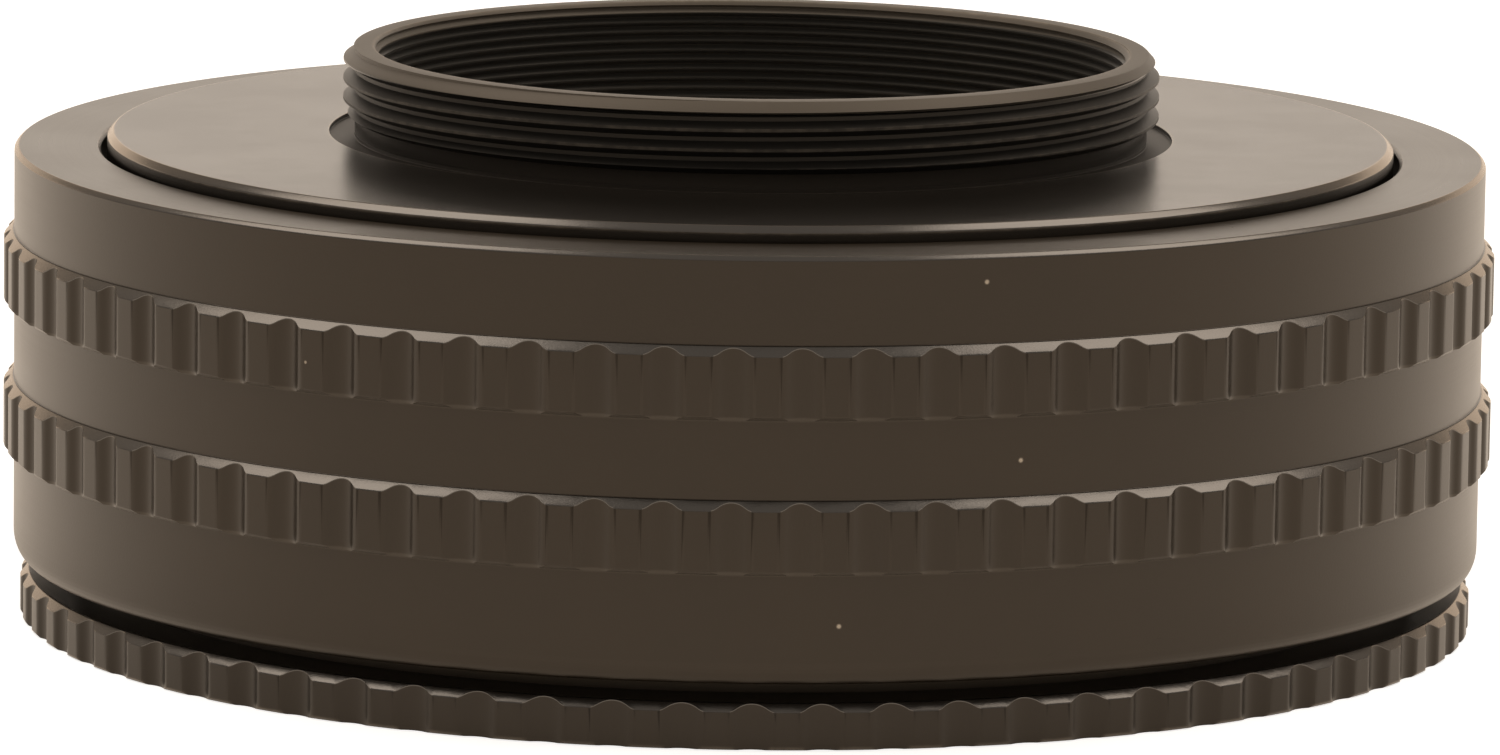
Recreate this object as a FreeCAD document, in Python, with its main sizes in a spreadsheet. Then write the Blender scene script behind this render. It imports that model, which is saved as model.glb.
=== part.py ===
import FreeCAD, Part
import Sketcher
import math
import os

# Focusing helicoid adapter, closed, standing on its lens side with the camera side up.
# Lengths are in millimetres.

NAME_OF_SHEET = "Sizes"

SIZES = {
    # camera side flange and its threaded collar
    "collar_radius": 21.0,
    "collar_wall": 1.8,
    "collar_rise": 4.4,
    "collar_lead_width": 0.4,
    "collar_lead_height": 0.5,
    "collar_mouth_width": 0.25,
    "collar_mouth_height": 0.35,
    "neck_depth": 0.6,
    "neck_height": 1.0,
    "neck_run_out": 0.3,
    "relief_width": 0.7,
    "relief_depth": 0.22,
    "flange_thickness": 1.75,
    "flange_edge": 0.15,
    "flange_rise": 0.25,
    # camera side barrel
    "barrel_step": 6.0,
    "barrel_flange_width": 3.2,
    "barrel_flange_thickness": 1.0,
    "barrel_foot_chamfer": 0.25,
    "barrel_foot_rise": 0.3,
    "inner_thread_wall": 1.0,
    # guide keys in the camera side barrel
    "key_inset": 0.1,
    "key_thickness": 1.2,
    "key_width": 5.0,
    "key_back_gap": 0.2,
    "key_end_gap": 0.25,
    "key_pin_spacing": 2.6,
    # clearances between the moving groups
    "running_gap": 0.3,
    "helicoid_clearance": 0.08,
    "guide_clearance": 0.06,
    "slide_clearance": 0.05,
    "press_clearance": 0.02,
    "thrust_gap": 0.2,
    # floating guide ring
    "guide_thickness": 1.3,
    "guide_ledge": 0.6,
    "guide_collar_wall": 0.8,
    "guide_collar_rise": 2.7,
    "stop_groove_depth": 0.7,
    "snap_groove_depth": 0.35,
    "snap_groove_rise": 1.2,
    "snap_groove_height": 0.6,
    "snap_ring_play": 0.02,
    "snap_ring_reach": 0.3,
    "snap_ring_gap_half_width": 3.0,
    "slip_ring_thickness": 0.25,
    "slip_ring_play": 0.05,
    # rotating inner sleeve
    "sleeve_skirt": 0.84,
    "sleeve_flange_thickness": 0.8,
    "sleeve_flange_play": 0.05,
    "sleeve_groove_depth": 0.34,
    "stop_lug_height": 0.7,
    "stop_lug_inset": 0.1,
    "stop_lug_half_width": 1.5,
    # slide blocks in the lens side barrel
    "block_thickness": 1.2,
    "block_width": 6.0,
    "block_height": 3.6,
    "block_pin_spacing": 3.6,
    "bar_bevel": 0.25,
    # lens side barrel and its foot ring
    "guide_rim": 0.1,
    "lens_thread_step": 0.46,
    "lens_bore_step": 0.39,
    "lens_thread_length": 2.8,
    "lens_undercut_length": 0.3,
    "lens_undercut_depth": 0.54,
    "lens_thread_chamfer": 0.5,
    "lens_barrel_top_chamfer": 0.3,
    "outer_thread_wall": 1.15,
    "foot_ring_width": 3.03,
    "foot_ring_height": 2.3,
    "foot_ring_edge": 0.15,
    "foot_ring_top_chamfer": 0.4,
    "foot_flute_depth": 0.4,
    "foot_key_radius": 0.8,
    "foot_key_length": 1.8,
    "foot_key_inset": 0.1,
    "foot_key_socket_radius": 0.42,
    "foot_key_socket_depth": 0.8,
    # rotating focusing ring
    "foot_gap": 0.95,
    "stage_travel": 15.0,
    "outer_engagement": 2.65,
    "web_thickness": 1.0,
    "mouth_depth": 2.05,
    "mouth_chamfer": 0.2,
    "thread_lead_chamfer": 0.3,
    "grip_wall": 3.32,
    "rim_width": 4.75,
    "grip_top_chamfer": 0.33,
    "grip_foot_width": 0.64,
    "grip_foot_height": 1.1,
    "band_raise": 0.55,
    "band_height": 3.6,
    "band_top_chamfer": 0.45,
    "band_foot_chamfer": 0.2,
    "low_band_rise": 5.5,
    "band_gap": 3.95,
    "flute_depth": 0.45,
    "flute_cutter_radius": 1.25,
    # dowel pins and countersunk screws
    "pin_radius": 0.35,
    "pin_length": 3.3,
    "sleeve_screw_radius": 0.6,
    "sleeve_screw_head_radius": 0.9,
    "sleeve_screw_head_height": 0.3,
    "barrel_screw_radius": 0.8,
    "barrel_screw_head_radius": 1.4,
    "barrel_screw_head_height": 0.6,
    "barrel_screw_bite": 1.2,
    "screw_slot_width": 0.3,
    "screw_slot_depth": 0.22,
}

GRIP_FLUTES = 72
FOOT_FLUTES = 69
SLOTS = 3
SCREWS = 6
FULL_TURN = 360.0
SNAP_GAP_ANGLE = 120.0
STOP_GROOVE_START = 86.0
STOP_GROOVE_SWEEP = 308.0
FOOT_KEY_ANGLE = 30.0
GRIP_FLUTE_PHASE = -1.0
FOOT_FLUTE_PHASE = 0.7
SLOT_OVERRUN = 1.2
KEY_ANGLES = (60.0, 180.0, 300.0)
BLOCK_ANGLES = (0.0, 120.0, 240.0)


class Size:
    """A length with the sheet expression that it comes from."""

    def __init__(self, value, text):
        self.value = value
        self.text = text

    def __add__(self, other):
        other = as_size(other)
        return Size(self.value + other.value, "(%s + %s)" % (self.text, other.text))

    def __sub__(self, other):
        other = as_size(other)
        return Size(self.value - other.value, "(%s - %s)" % (self.text, other.text))

    def __mul__(self, factor):
        return Size(self.value * factor, "(%s * %s)" % (self.text, factor))

    def __truediv__(self, divisor):
        return Size(self.value / divisor, "(%s / %s)" % (self.text, divisor))

    def __neg__(self):
        return Size(-self.value, "(-1 * %s)" % self.text)


def as_size(value):
    """Give a plain number the same form as a sheet size."""
    if isinstance(value, Size):
        return value
    return Size(float(value), repr(float(value)))


doc = FreeCAD.newDocument("HelicoidAdapter")
sheet = doc.addObject("Spreadsheet::Sheet", NAME_OF_SHEET)
for row, (alias, number) in enumerate(SIZES.items(), start=1):
    sheet.set("A%d" % row, alias)
    sheet.set("B%d" % row, str(number))
    sheet.setAlias("B%d" % row, alias)
doc.recompute()


def size(alias):
    """Look a length up in the sheet."""
    return Size(float(sheet.get(alias)), "%s.%s" % (NAME_OF_SHEET, alias))


def origin_part(body, role):
    """Find one of the body's own origin planes or axes."""
    for feature in body.Origin.OriginFeatures:
        if feature.Role == role:
            return feature
    raise ValueError("no origin feature " + role)


def new_body(label):
    """Start a sub-part of its own."""
    body = doc.addObject("PartDesign::Body", label)
    body.Label = label
    return body


def new_sketch(body, name, role, height=None):
    """Put an empty sketch on one of the body's origin planes."""
    sketch = body.newObject("Sketcher::SketchObject", name)
    sketch.AttachmentSupport = [(origin_part(body, role), "")]
    sketch.MapMode = "FlatFace"
    if height is not None:
        level = as_size(height)
        sketch.AttachmentOffset = FreeCAD.Placement(
            FreeCAD.Vector(0, 0, level.value), FreeCAD.Rotation())
        sketch.setExpression("AttachmentOffset.Base.z", level.text)
    return sketch


def fix_along(sketch, kind, geometry, point, length):
    """Hold a point at a signed distance from the sketch origin."""
    length = as_size(length)
    if abs(length.value) < 1e-9:
        axis = -2 if kind == "DistanceX" else -1
        sketch.addConstraint(Sketcher.Constraint("PointOnObject", geometry, point, axis))
        return
    if length.value > 0:
        index = sketch.addConstraint(
            Sketcher.Constraint(kind, -1, 1, geometry, point, length.value))
        sketch.setExpression("Constraints[%d]" % index, length.text)
    else:
        flipped = -length
        index = sketch.addConstraint(
            Sketcher.Constraint(kind, geometry, point, -1, 1, flipped.value))
        sketch.setExpression("Constraints[%d]" % index, flipped.text)


def draw_outline(sketch, points):
    """Draw a closed outline whose corners are all tied to the sheet."""
    corners = [(as_size(x), as_size(y)) for x, y in points]
    count = len(corners)
    first = sketch.GeometryCount
    for index in range(count):
        start = corners[index]
        end = corners[(index + 1) % count]
        sketch.addGeometry(Part.LineSegment(
            FreeCAD.Vector(start[0].value, start[1].value, 0),
            FreeCAD.Vector(end[0].value, end[1].value, 0)), False)
    for index in range(count):
        following = first + (index + 1) % count
        sketch.addConstraint(Sketcher.Constraint("Coincident", first + index, 2, following, 1))
    for index, (x, y) in enumerate(corners):
        fix_along(sketch, "DistanceX", first + index, 1, x)
        fix_along(sketch, "DistanceY", first + index, 1, y)


def draw_circle(sketch, x, y, radius):
    """Draw a circle with its centre and radius tied to the sheet."""
    x, y, radius = as_size(x), as_size(y), as_size(radius)
    index = sketch.addGeometry(Part.Circle(
        FreeCAD.Vector(x.value, y.value, 0), FreeCAD.Vector(0, 0, 1), radius.value), False)
    fix_along(sketch, "DistanceX", index, 3, x)
    fix_along(sketch, "DistanceY", index, 3, y)
    held = sketch.addConstraint(Sketcher.Constraint("Radius", index, radius.value))
    sketch.setExpression("Constraints[%d]" % held, radius.text)


def turn(body, name, points):
    """Turn an outline of radius and height about the optical axis."""
    sketch = new_sketch(body, name + "Outline", "XZ_Plane")
    draw_outline(sketch, points)
    solid = body.newObject("PartDesign::Revolution", name)
    solid.Profile = sketch
    solid.ReferenceAxis = (sketch, ["V_Axis"])
    solid.Angle = FULL_TURN
    body.Tip = solid
    return solid


def groove(body, name, points, angle=FULL_TURN, start=0.0):
    """Turn an outline away, over a whole turn or over an arc that starts at an angle."""
    sketch = new_sketch(body, name + "Outline", "XZ_Plane")
    draw_outline(sketch, points)
    if start:
        sketch.AttachmentOffset = FreeCAD.Placement(
            FreeCAD.Vector(0, 0, 0), FreeCAD.Rotation(FreeCAD.Vector(0, 1, 0), start))
    cut = body.newObject("PartDesign::Groove", name)
    cut.Profile = sketch
    cut.ReferenceAxis = (sketch, ["V_Axis"])
    cut.Angle = angle
    body.Tip = cut
    return cut


def extrude(body, kind, name, sketch, length, upward):
    """Add or cut the sketch over a length along the optical axis."""
    length = as_size(length)
    feature = body.newObject("PartDesign::" + kind, name)
    feature.Profile = sketch
    feature.Length = length.value
    feature.setExpression("Length", length.text)
    feature.Reversed = upward if kind == "Pocket" else not upward
    body.Tip = feature
    return feature


def repeat(body, name, features, count):
    """Repeat features evenly round the optical axis."""
    pattern = body.newObject("PartDesign::PolarPattern", name)
    pattern.Originals = features
    pattern.Axis = (origin_part(body, "Z_Axis"), [""])
    pattern.Angle = FULL_TURN
    pattern.Occurrences = count
    body.Tip = pattern
    return pattern


def box_outline(inner, outer, width):
    """Outline of a block that lies across the X axis."""
    half = width / 2
    return [(inner, -half), (outer, -half), (outer, half), (inner, half)]


def turned_about(angle):
    """Placement that turns a sub-part about the optical axis."""
    return FreeCAD.Placement(
        FreeCAD.Vector(0, 0, 0), FreeCAD.Rotation(FreeCAD.Vector(0, 0, 1), angle))


# radii that several sub-parts share, from the optical axis outwards
collar_radius = size("collar_radius")
collar_bore_radius = collar_radius - size("collar_wall")
barrel_bore_radius = collar_radius + size("barrel_step")
barrel_flange_inner_radius = barrel_bore_radius - size("barrel_flange_width")
barrel_screw_circle = (barrel_bore_radius + barrel_flange_inner_radius) / 2
key_inner = barrel_bore_radius + size("key_inset")
key_outer = key_inner + size("key_thickness")
key_middle = (key_inner + key_outer) / 2
key_slot_floor = key_outer + size("key_back_gap")
inner_helicoid_radius = key_slot_floor + size("inner_thread_wall")
inner_female_radius = inner_helicoid_radius + size("helicoid_clearance")
guide_inner_radius = key_inner - size("guide_ledge")
guide_collar_inner_radius = inner_helicoid_radius + size("running_gap")
guide_collar_radius = guide_collar_inner_radius + size("guide_collar_wall")
counterbore_radius = guide_collar_radius + size("guide_clearance")
sleeve_radius = counterbore_radius + size("sleeve_skirt")
guide_rim_radius = sleeve_radius + size("guide_rim")
lens_thread_radius = sleeve_radius + size("lens_thread_step")
lens_barrel_bore_radius = lens_thread_radius + size("lens_bore_step")
block_inner = sleeve_radius + size("running_gap")
block_outer = block_inner + size("block_thickness")
block_middle = (block_inner + block_outer) / 2
block_slot_floor = block_outer + size("running_gap")
outer_helicoid_radius = block_slot_floor + size("outer_thread_wall")
outer_female_radius = outer_helicoid_radius + size("helicoid_clearance")
foot_bore_radius = outer_helicoid_radius + size("press_clearance")
foot_ring_radius = foot_bore_radius + size("foot_ring_width")
grip_radius = outer_female_radius + size("grip_wall")
band_radius = grip_radius + size("band_raise")
flange_radius = grip_radius - size("rim_width")
grip_mouth_radius = flange_radius + size("running_gap")
sleeve_flange_radius = grip_mouth_radius - size("sleeve_flange_play")
sleeve_screw_circle = (sleeve_radius + sleeve_flange_radius) / 2

# heights that several sub-parts share, from the foot upwards
slot_bottom = size("lens_thread_length") + size("lens_undercut_length")
guide_bottom = slot_bottom + size("thrust_gap")
guide_top = guide_bottom + size("guide_thickness")
sleeve_bottom = guide_top + size("thrust_gap")
barrel_bottom = guide_top + size("barrel_foot_rise")
snap_groove_bottom = guide_top + size("snap_groove_rise")
snap_groove_top = snap_groove_bottom + size("snap_groove_height")
guide_collar_top = guide_top + size("guide_collar_rise")
slip_top = guide_collar_top + size("slip_ring_thickness")
counterbore_top = slip_top + size("slip_ring_play")
grip_bottom = size("foot_ring_height") + size("foot_gap")
low_band_bottom = grip_bottom + size("low_band_rise")
low_band_top = low_band_bottom + size("band_height")
high_band_bottom = low_band_top + size("band_gap")
high_band_top = high_band_bottom + size("band_height")
lens_barrel_top = grip_bottom + size("stage_travel") + size("outer_engagement")
web_bottom = lens_barrel_top + size("running_gap")
web_top = web_bottom + size("web_thickness")
grip_top = web_top + size("mouth_depth")
sleeve_top = web_top + size("sleeve_flange_thickness")
flange_under = sleeve_top + size("flange_rise")
flange_face = flange_under + size("flange_thickness")
collar_top = flange_face + size("collar_rise")
barrel_web = flange_under - size("barrel_flange_thickness")
key_top = barrel_web - size("key_end_gap")
hole_radius = size("pin_radius") + size("press_clearance")


def flutes(body, name, crest_radius, depth, phase, bottom, top, count):
    """Mill upright scallops round a grip, from its bottom to its top."""
    centre = crest_radius - depth + size("flute_cutter_radius")
    sketch = new_sketch(body, name + "Outline", "XY_Plane", bottom)
    across = centre * math.sin(math.radians(phase))
    along = centre * math.cos(math.radians(phase))
    draw_circle(sketch, across, -along, size("flute_cutter_radius"))
    cut = extrude(body, "Pocket", name, sketch, top - bottom, True)
    return repeat(body, name + "Round", [cut], count)


# camera side flange with its threaded collar
mount_flange = new_body("mount_flange")
relief_floor = flange_face - size("relief_depth")
neck_top = relief_floor + size("neck_height")
turn(mount_flange, "FlangeTurned", [
    (collar_bore_radius, flange_under),
    (flange_radius, flange_under),
    (flange_radius, flange_face - size("flange_edge")),
    (flange_radius - size("flange_edge"), flange_face),
    (collar_radius + size("relief_width"), flange_face),
    (collar_radius + size("relief_width"), relief_floor),
    (collar_radius - size("neck_depth"), relief_floor),
    (collar_radius - size("neck_depth"), neck_top),
    (collar_radius, neck_top + size("neck_run_out")),
    (collar_radius, collar_top - size("collar_lead_height")),
    (collar_radius - size("collar_lead_width"), collar_top),
    (collar_bore_radius + size("collar_mouth_width"), collar_top),
    (collar_bore_radius, collar_top - size("collar_mouth_height")),
])
tapped = new_sketch(mount_flange, "FlangeTappedOutline", "XY_Plane", flange_under)
draw_circle(tapped, barrel_screw_circle, 0,
            size("barrel_screw_radius") + size("press_clearance"))
tapped_depth = size("barrel_screw_bite") + size("press_clearance")
tapped_cut = extrude(mount_flange, "Pocket", "FlangeTapped", tapped, tapped_depth, True)
repeat(mount_flange, "FlangeTappedRound", [tapped_cut], SCREWS)

# camera side barrel, with its screw flange turned inwards at the top
camera_barrel = new_body("camera_barrel")
turn(camera_barrel, "CameraBarrelTurned", [
    (barrel_bore_radius, barrel_bottom),
    (inner_helicoid_radius - size("barrel_foot_chamfer"),
     barrel_bottom),
    (inner_helicoid_radius,
     barrel_bottom + size("barrel_foot_chamfer")),
    (inner_helicoid_radius, flange_under),
    (barrel_flange_inner_radius, flange_under),
    (barrel_flange_inner_radius, barrel_web),
    (barrel_bore_radius, barrel_web),
])
key_slot = new_sketch(camera_barrel, "KeySlotOutline", "XY_Plane", barrel_bottom)
draw_outline(key_slot, box_outline(
    guide_inner_radius, key_slot_floor,
    size("key_width") + size("slide_clearance") * 2))
key_slot_cut = extrude(camera_barrel, "Pocket", "KeySlot", key_slot,
                       barrel_web - barrel_bottom, True)
repeat(camera_barrel, "KeySlotRound", [key_slot_cut], SLOTS)


def countersink(body, name, circle, angle, seat, through, screw_radius, head_radius, head_height,
                downward):
    """Drill a countersunk hole whose wide end opens at the seat height."""
    sketch = new_sketch(body, name + "Outline", "XZ_Plane")
    if angle:
        sketch.AttachmentOffset = FreeCAD.Placement(
            FreeCAD.Vector(0, 0, 0), FreeCAD.Rotation(FreeCAD.Vector(0, 1, 0), angle))
    sign = -1.0 if downward else 1.0
    rim = head_radius + size("press_clearance")
    hole = screw_radius + size("press_clearance")
    throat = seat + head_height * sign
    draw_outline(sketch, [
        (circle, seat), (circle + rim, seat), (circle + hole, throat),
        (circle + hole, through), (circle, through)])
    cut = body.newObject("PartDesign::Groove", name)
    cut.Profile = sketch
    cut.ReferenceAxis = (sketch, ["Edge5"])
    cut.Angle = FULL_TURN
    body.Tip = cut
    return cut


barrel_hole = countersink(
    camera_barrel, "BarrelHole", barrel_screw_circle, 0.0, barrel_web, flange_under,
    size("barrel_screw_radius"), size("barrel_screw_head_radius"),
    size("barrel_screw_head_height"), False)
repeat(camera_barrel, "BarrelHoleRound", [barrel_hole], SCREWS)
camera_barrel.Placement = turned_about(KEY_ANGLES[0])

# rotating focusing ring with its two grip bands
focus_ring = new_body("focus_ring")
turn(focus_ring, "FocusTurned", [
    (outer_female_radius + size("thread_lead_chamfer"), grip_bottom),
    (grip_radius - size("grip_foot_width"), grip_bottom),
    (grip_radius, grip_bottom + size("grip_foot_height")),
    (grip_radius, low_band_bottom),
    (band_radius - size("band_foot_chamfer"), low_band_bottom),
    (band_radius, low_band_bottom + size("band_foot_chamfer")),
    (band_radius, low_band_top - size("band_top_chamfer")),
    (band_radius - size("band_top_chamfer"), low_band_top),
    (grip_radius, low_band_top),
    (grip_radius, high_band_bottom),
    (band_radius - size("band_foot_chamfer"), high_band_bottom),
    (band_radius, high_band_bottom + size("band_foot_chamfer")),
    (band_radius, high_band_top - size("band_top_chamfer")),
    (band_radius - size("band_top_chamfer"), high_band_top),
    (grip_radius, high_band_top),
    (grip_radius, grip_top - size("grip_top_chamfer")),
    (grip_radius - size("grip_top_chamfer"), grip_top),
    (grip_mouth_radius + size("mouth_chamfer"), grip_top),
    (grip_mouth_radius, grip_top - size("mouth_chamfer")),
    (grip_mouth_radius, web_top),
    (sleeve_radius + size("press_clearance"), web_top),
    (sleeve_radius + size("press_clearance"), web_bottom),
    (outer_female_radius, web_bottom),
    (outer_female_radius, grip_bottom + size("thread_lead_chamfer")),
])
flutes(focus_ring, "GripFlute", band_radius, size("flute_depth"), GRIP_FLUTE_PHASE,
       low_band_bottom, high_band_top, GRIP_FLUTES)
web_hole = new_sketch(focus_ring, "WebHoleOutline", "XY_Plane", web_bottom)
draw_circle(web_hole, sleeve_screw_circle, 0,
            size("sleeve_screw_radius") + size("press_clearance"))
web_hole_cut = extrude(focus_ring, "Pocket", "WebHole", web_hole, size("web_thickness"), True)
repeat(focus_ring, "WebHoleRound", [web_hole_cut], SCREWS)

# rotating inner sleeve, hung from the focusing ring
helicoid_sleeve = new_body("helicoid_sleeve")
turn(helicoid_sleeve, "SleeveTurned", [
    (counterbore_radius, sleeve_bottom),
    (sleeve_radius, sleeve_bottom),
    (sleeve_radius, web_top),
    (sleeve_flange_radius, web_top),
    (sleeve_flange_radius, sleeve_top),
    (inner_female_radius + size("thread_lead_chamfer"), sleeve_top),
    (inner_female_radius, sleeve_top - size("thread_lead_chamfer")),
    (inner_female_radius, counterbore_top),
    (counterbore_radius, counterbore_top),
])
groove(helicoid_sleeve, "SleeveSnapGroove", [
    (counterbore_radius - size("guide_clearance"), snap_groove_bottom),
    (counterbore_radius + size("sleeve_groove_depth"), snap_groove_bottom),
    (counterbore_radius + size("sleeve_groove_depth"), snap_groove_top),
    (counterbore_radius - size("guide_clearance"), snap_groove_top),
])
lug_sketch = new_sketch(helicoid_sleeve, "StopLugOutline", "XY_Plane", sleeve_bottom)
lug_half = size("stop_lug_half_width")
lug_inner = guide_collar_radius + size("running_gap")
lug_outer = sleeve_radius - size("stop_lug_inset")
draw_outline(lug_sketch, [
    (-lug_half, lug_inner), (lug_half, lug_inner),
    (lug_half, lug_outer), (-lug_half, lug_outer)])
extrude(helicoid_sleeve, "Pad", "StopLug", lug_sketch, size("stop_lug_height"), False)
sleeve_hole = countersink(
    helicoid_sleeve, "SleeveHole", sleeve_screw_circle, 0.0, sleeve_top, web_top,
    size("sleeve_screw_radius"), size("sleeve_screw_head_radius"),
    size("sleeve_screw_head_height"), True)
repeat(helicoid_sleeve, "SleeveHoleRound", [sleeve_hole], SCREWS)

# floating guide ring
guide_ring = new_body("guide_ring")
turn(guide_ring, "GuideTurned", [
    (guide_inner_radius, guide_bottom),
    (guide_rim_radius, guide_bottom),
    (guide_rim_radius, guide_top),
    (guide_collar_radius, guide_top),
    (guide_collar_radius, snap_groove_bottom),
    (guide_collar_radius - size("snap_groove_depth"), snap_groove_bottom),
    (guide_collar_radius - size("snap_groove_depth"), snap_groove_top),
    (guide_collar_radius, snap_groove_top),
    (guide_collar_radius, guide_collar_top),
    (guide_collar_inner_radius, guide_collar_top),
    (guide_collar_inner_radius, guide_top),
    (guide_inner_radius, guide_top),
])
ear_sketch = new_sketch(guide_ring, "EarOutline", "XY_Plane", guide_bottom)
draw_outline(ear_sketch, box_outline(
    guide_collar_radius, block_outer, size("block_width")))
ear = extrude(guide_ring, "Pad", "Ear", ear_sketch, size("guide_thickness"), True)
repeat(guide_ring, "EarRound", [ear], SLOTS)
groove(guide_ring, "StopGroove", [
    (guide_collar_radius, guide_top - size("stop_groove_depth")),
    (guide_rim_radius, guide_top - size("stop_groove_depth")),
    (guide_rim_radius, guide_top),
    (guide_collar_radius, guide_top),
], STOP_GROOVE_SWEEP, STOP_GROOVE_START)

pin_holes = new_sketch(guide_ring, "PinHoleOutline", "XY_Plane", guide_bottom)
hole_radius = size("pin_radius") + size("press_clearance")
key_cos = math.cos(math.radians(KEY_ANGLES[0]))
key_sin = math.sin(math.radians(KEY_ANGLES[0]))
for side in (-0.5, 0.5):
    draw_circle(pin_holes, block_middle, size("block_pin_spacing") * side, hole_radius)
    aside = size("key_pin_spacing") * side
    draw_circle(pin_holes, key_middle * key_cos - aside * key_sin,
                key_middle * key_sin + aside * key_cos, hole_radius)
pin_cut = extrude(guide_ring, "Pocket", "PinHole", pin_holes, size("guide_thickness"), True)
repeat(guide_ring, "PinHoleRound", [pin_cut], SLOTS)


def pinned_bar(label, inner, outer, width, bottom, top, bevel, spacing, angle):
    """Make a flat bar that stands on two dowel pins."""
    bar = new_body(label)
    sketch = new_sketch(bar, label + "Outline", "XZ_Plane")
    draw_outline(sketch, [
        (inner, bottom), (outer, bottom), (outer, top - bevel), (outer - bevel, top),
        (inner + bevel, top), (inner, top - bevel)])
    pad = bar.newObject("PartDesign::Pad", label + "Bar")
    pad.Profile = sketch
    pad.Midplane = True
    pad.Length = width.value
    pad.setExpression("Length", width.text)
    bar.Tip = pad
    holes = new_sketch(bar, label + "PinOutline", "XY_Plane", bottom)
    for side in (-0.5, 0.5):
        draw_circle(holes, (inner + outer) / 2, spacing * side, hole_radius)
    extrude(bar, "Pocket", label + "PinHoles", holes,
            size("pin_length") - size("guide_thickness") + size("press_clearance"), True)
    bar.Placement = turned_about(angle)
    return bar


def pin_set(label, middle, spacing, angle):
    """Make the dowel pins of the bars that stand on the guide ring."""
    pins = new_body(label)
    sketch = new_sketch(pins, label + "Outline", "XY_Plane", guide_bottom)
    for side in (-0.5, 0.5):
        draw_circle(sketch, middle, spacing * side, size("pin_radius"))
    pad = extrude(pins, "Pad", label + "Pins", sketch, size("pin_length"), True)
    repeat(pins, label + "Round", [pad], SLOTS)
    pins.Placement = turned_about(angle)
    return pins


slide_blocks = [
    pinned_bar("slide_block_%d" % number, block_inner, block_outer,
               size("block_width"), guide_top, guide_top + size("block_height"), size("bar_bevel"),
               size("block_pin_spacing"), angle)
    for number, angle in enumerate(BLOCK_ANGLES, start=1)]
guide_keys = [
    pinned_bar("guide_key_%d" % number, key_inner, key_outer,
               size("key_width"), guide_top, key_top, size("bar_bevel"),
               size("key_pin_spacing"), angle)
    for number, angle in enumerate(KEY_ANGLES, start=1)]
block_pins = pin_set("block_pins", block_middle, size("block_pin_spacing"), BLOCK_ANGLES[0])
key_pins = pin_set("key_pins", key_middle, size("key_pin_spacing"), KEY_ANGLES[0])

# split snap ring that hangs the guide ring in the sleeve
snap_ring = new_body("snap_ring")
snap_inner = (guide_collar_radius - size("snap_groove_depth") + size("snap_ring_play"))
snap_outer = guide_collar_radius + size("snap_ring_reach")
snap_bottom = snap_groove_bottom + size("snap_ring_play")
snap_top = snap_groove_top - size("snap_ring_play")
turn(snap_ring, "SnapTurned", [
    (snap_inner, snap_bottom), (snap_outer, snap_bottom),
    (snap_outer, snap_top), (snap_inner, snap_top)])
snap_gap = new_sketch(snap_ring, "SnapGapOutline", "XY_Plane", snap_groove_bottom)
draw_outline(snap_gap, box_outline(
    guide_collar_inner_radius, sleeve_radius,
    size("snap_ring_gap_half_width") * 2))
extrude(snap_ring, "Pocket", "SnapGap", snap_gap, size("snap_groove_height"), True)
snap_ring.Placement = turned_about(SNAP_GAP_ANGLE)

# slip ring between the guide ring and the sleeve
slip_ring = new_body("slip_ring")
turn(slip_ring, "SlipTurned", [
    (guide_collar_inner_radius + size("slip_ring_play"), guide_collar_top),
    (guide_collar_radius, guide_collar_top),
    (guide_collar_radius, slip_top),
    (guide_collar_inner_radius + size("slip_ring_play"), slip_top)])

# lens side barrel, with the lens thread in its foot
lens_barrel = new_body("lens_barrel")
turn(lens_barrel, "LensBarrelTurned", [
    (lens_thread_radius + size("lens_thread_chamfer"), 0),
    (outer_helicoid_radius, 0),
    (outer_helicoid_radius, lens_barrel_top - size("lens_barrel_top_chamfer")),
    (outer_helicoid_radius - size("lens_barrel_top_chamfer"), lens_barrel_top),
    (lens_barrel_bore_radius, lens_barrel_top),
    (lens_barrel_bore_radius, slot_bottom),
    (lens_thread_radius + size("lens_undercut_depth"), slot_bottom),
    (lens_thread_radius + size("lens_undercut_depth"), size("lens_thread_length")),
    (lens_thread_radius, size("lens_thread_length")),
    (lens_thread_radius, size("lens_thread_chamfer")),
])
block_slot = new_sketch(lens_barrel, "BlockSlotOutline", "XY_Plane", slot_bottom)
draw_outline(block_slot, box_outline(
    guide_collar_radius, block_slot_floor,
    size("block_width") + size("slide_clearance") * 2))
block_slot_cut = extrude(lens_barrel, "Pocket", "BlockSlot", block_slot,
                         lens_barrel_top - slot_bottom, True)
repeat(lens_barrel, "BlockSlotRound", [block_slot_cut], SLOTS)

# knurled foot ring, pressed on the lens side barrel
lens_mount_ring = new_body("lens_mount_ring")
turn(lens_mount_ring, "FootRingTurned", [
    (foot_bore_radius, 0),
    (foot_ring_radius - size("foot_ring_edge"), 0),
    (foot_ring_radius, size("foot_ring_edge")),
    (foot_ring_radius, size("foot_ring_height") - size("foot_ring_top_chamfer")),
    (foot_ring_radius - size("foot_ring_top_chamfer"), size("foot_ring_height")),
    (foot_bore_radius, size("foot_ring_height")),
])
flutes(lens_mount_ring, "FootFlute", foot_ring_radius, size("foot_flute_depth"),
       FOOT_FLUTE_PHASE, as_size(0), size("foot_ring_height"), FOOT_FLUTES)

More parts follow.
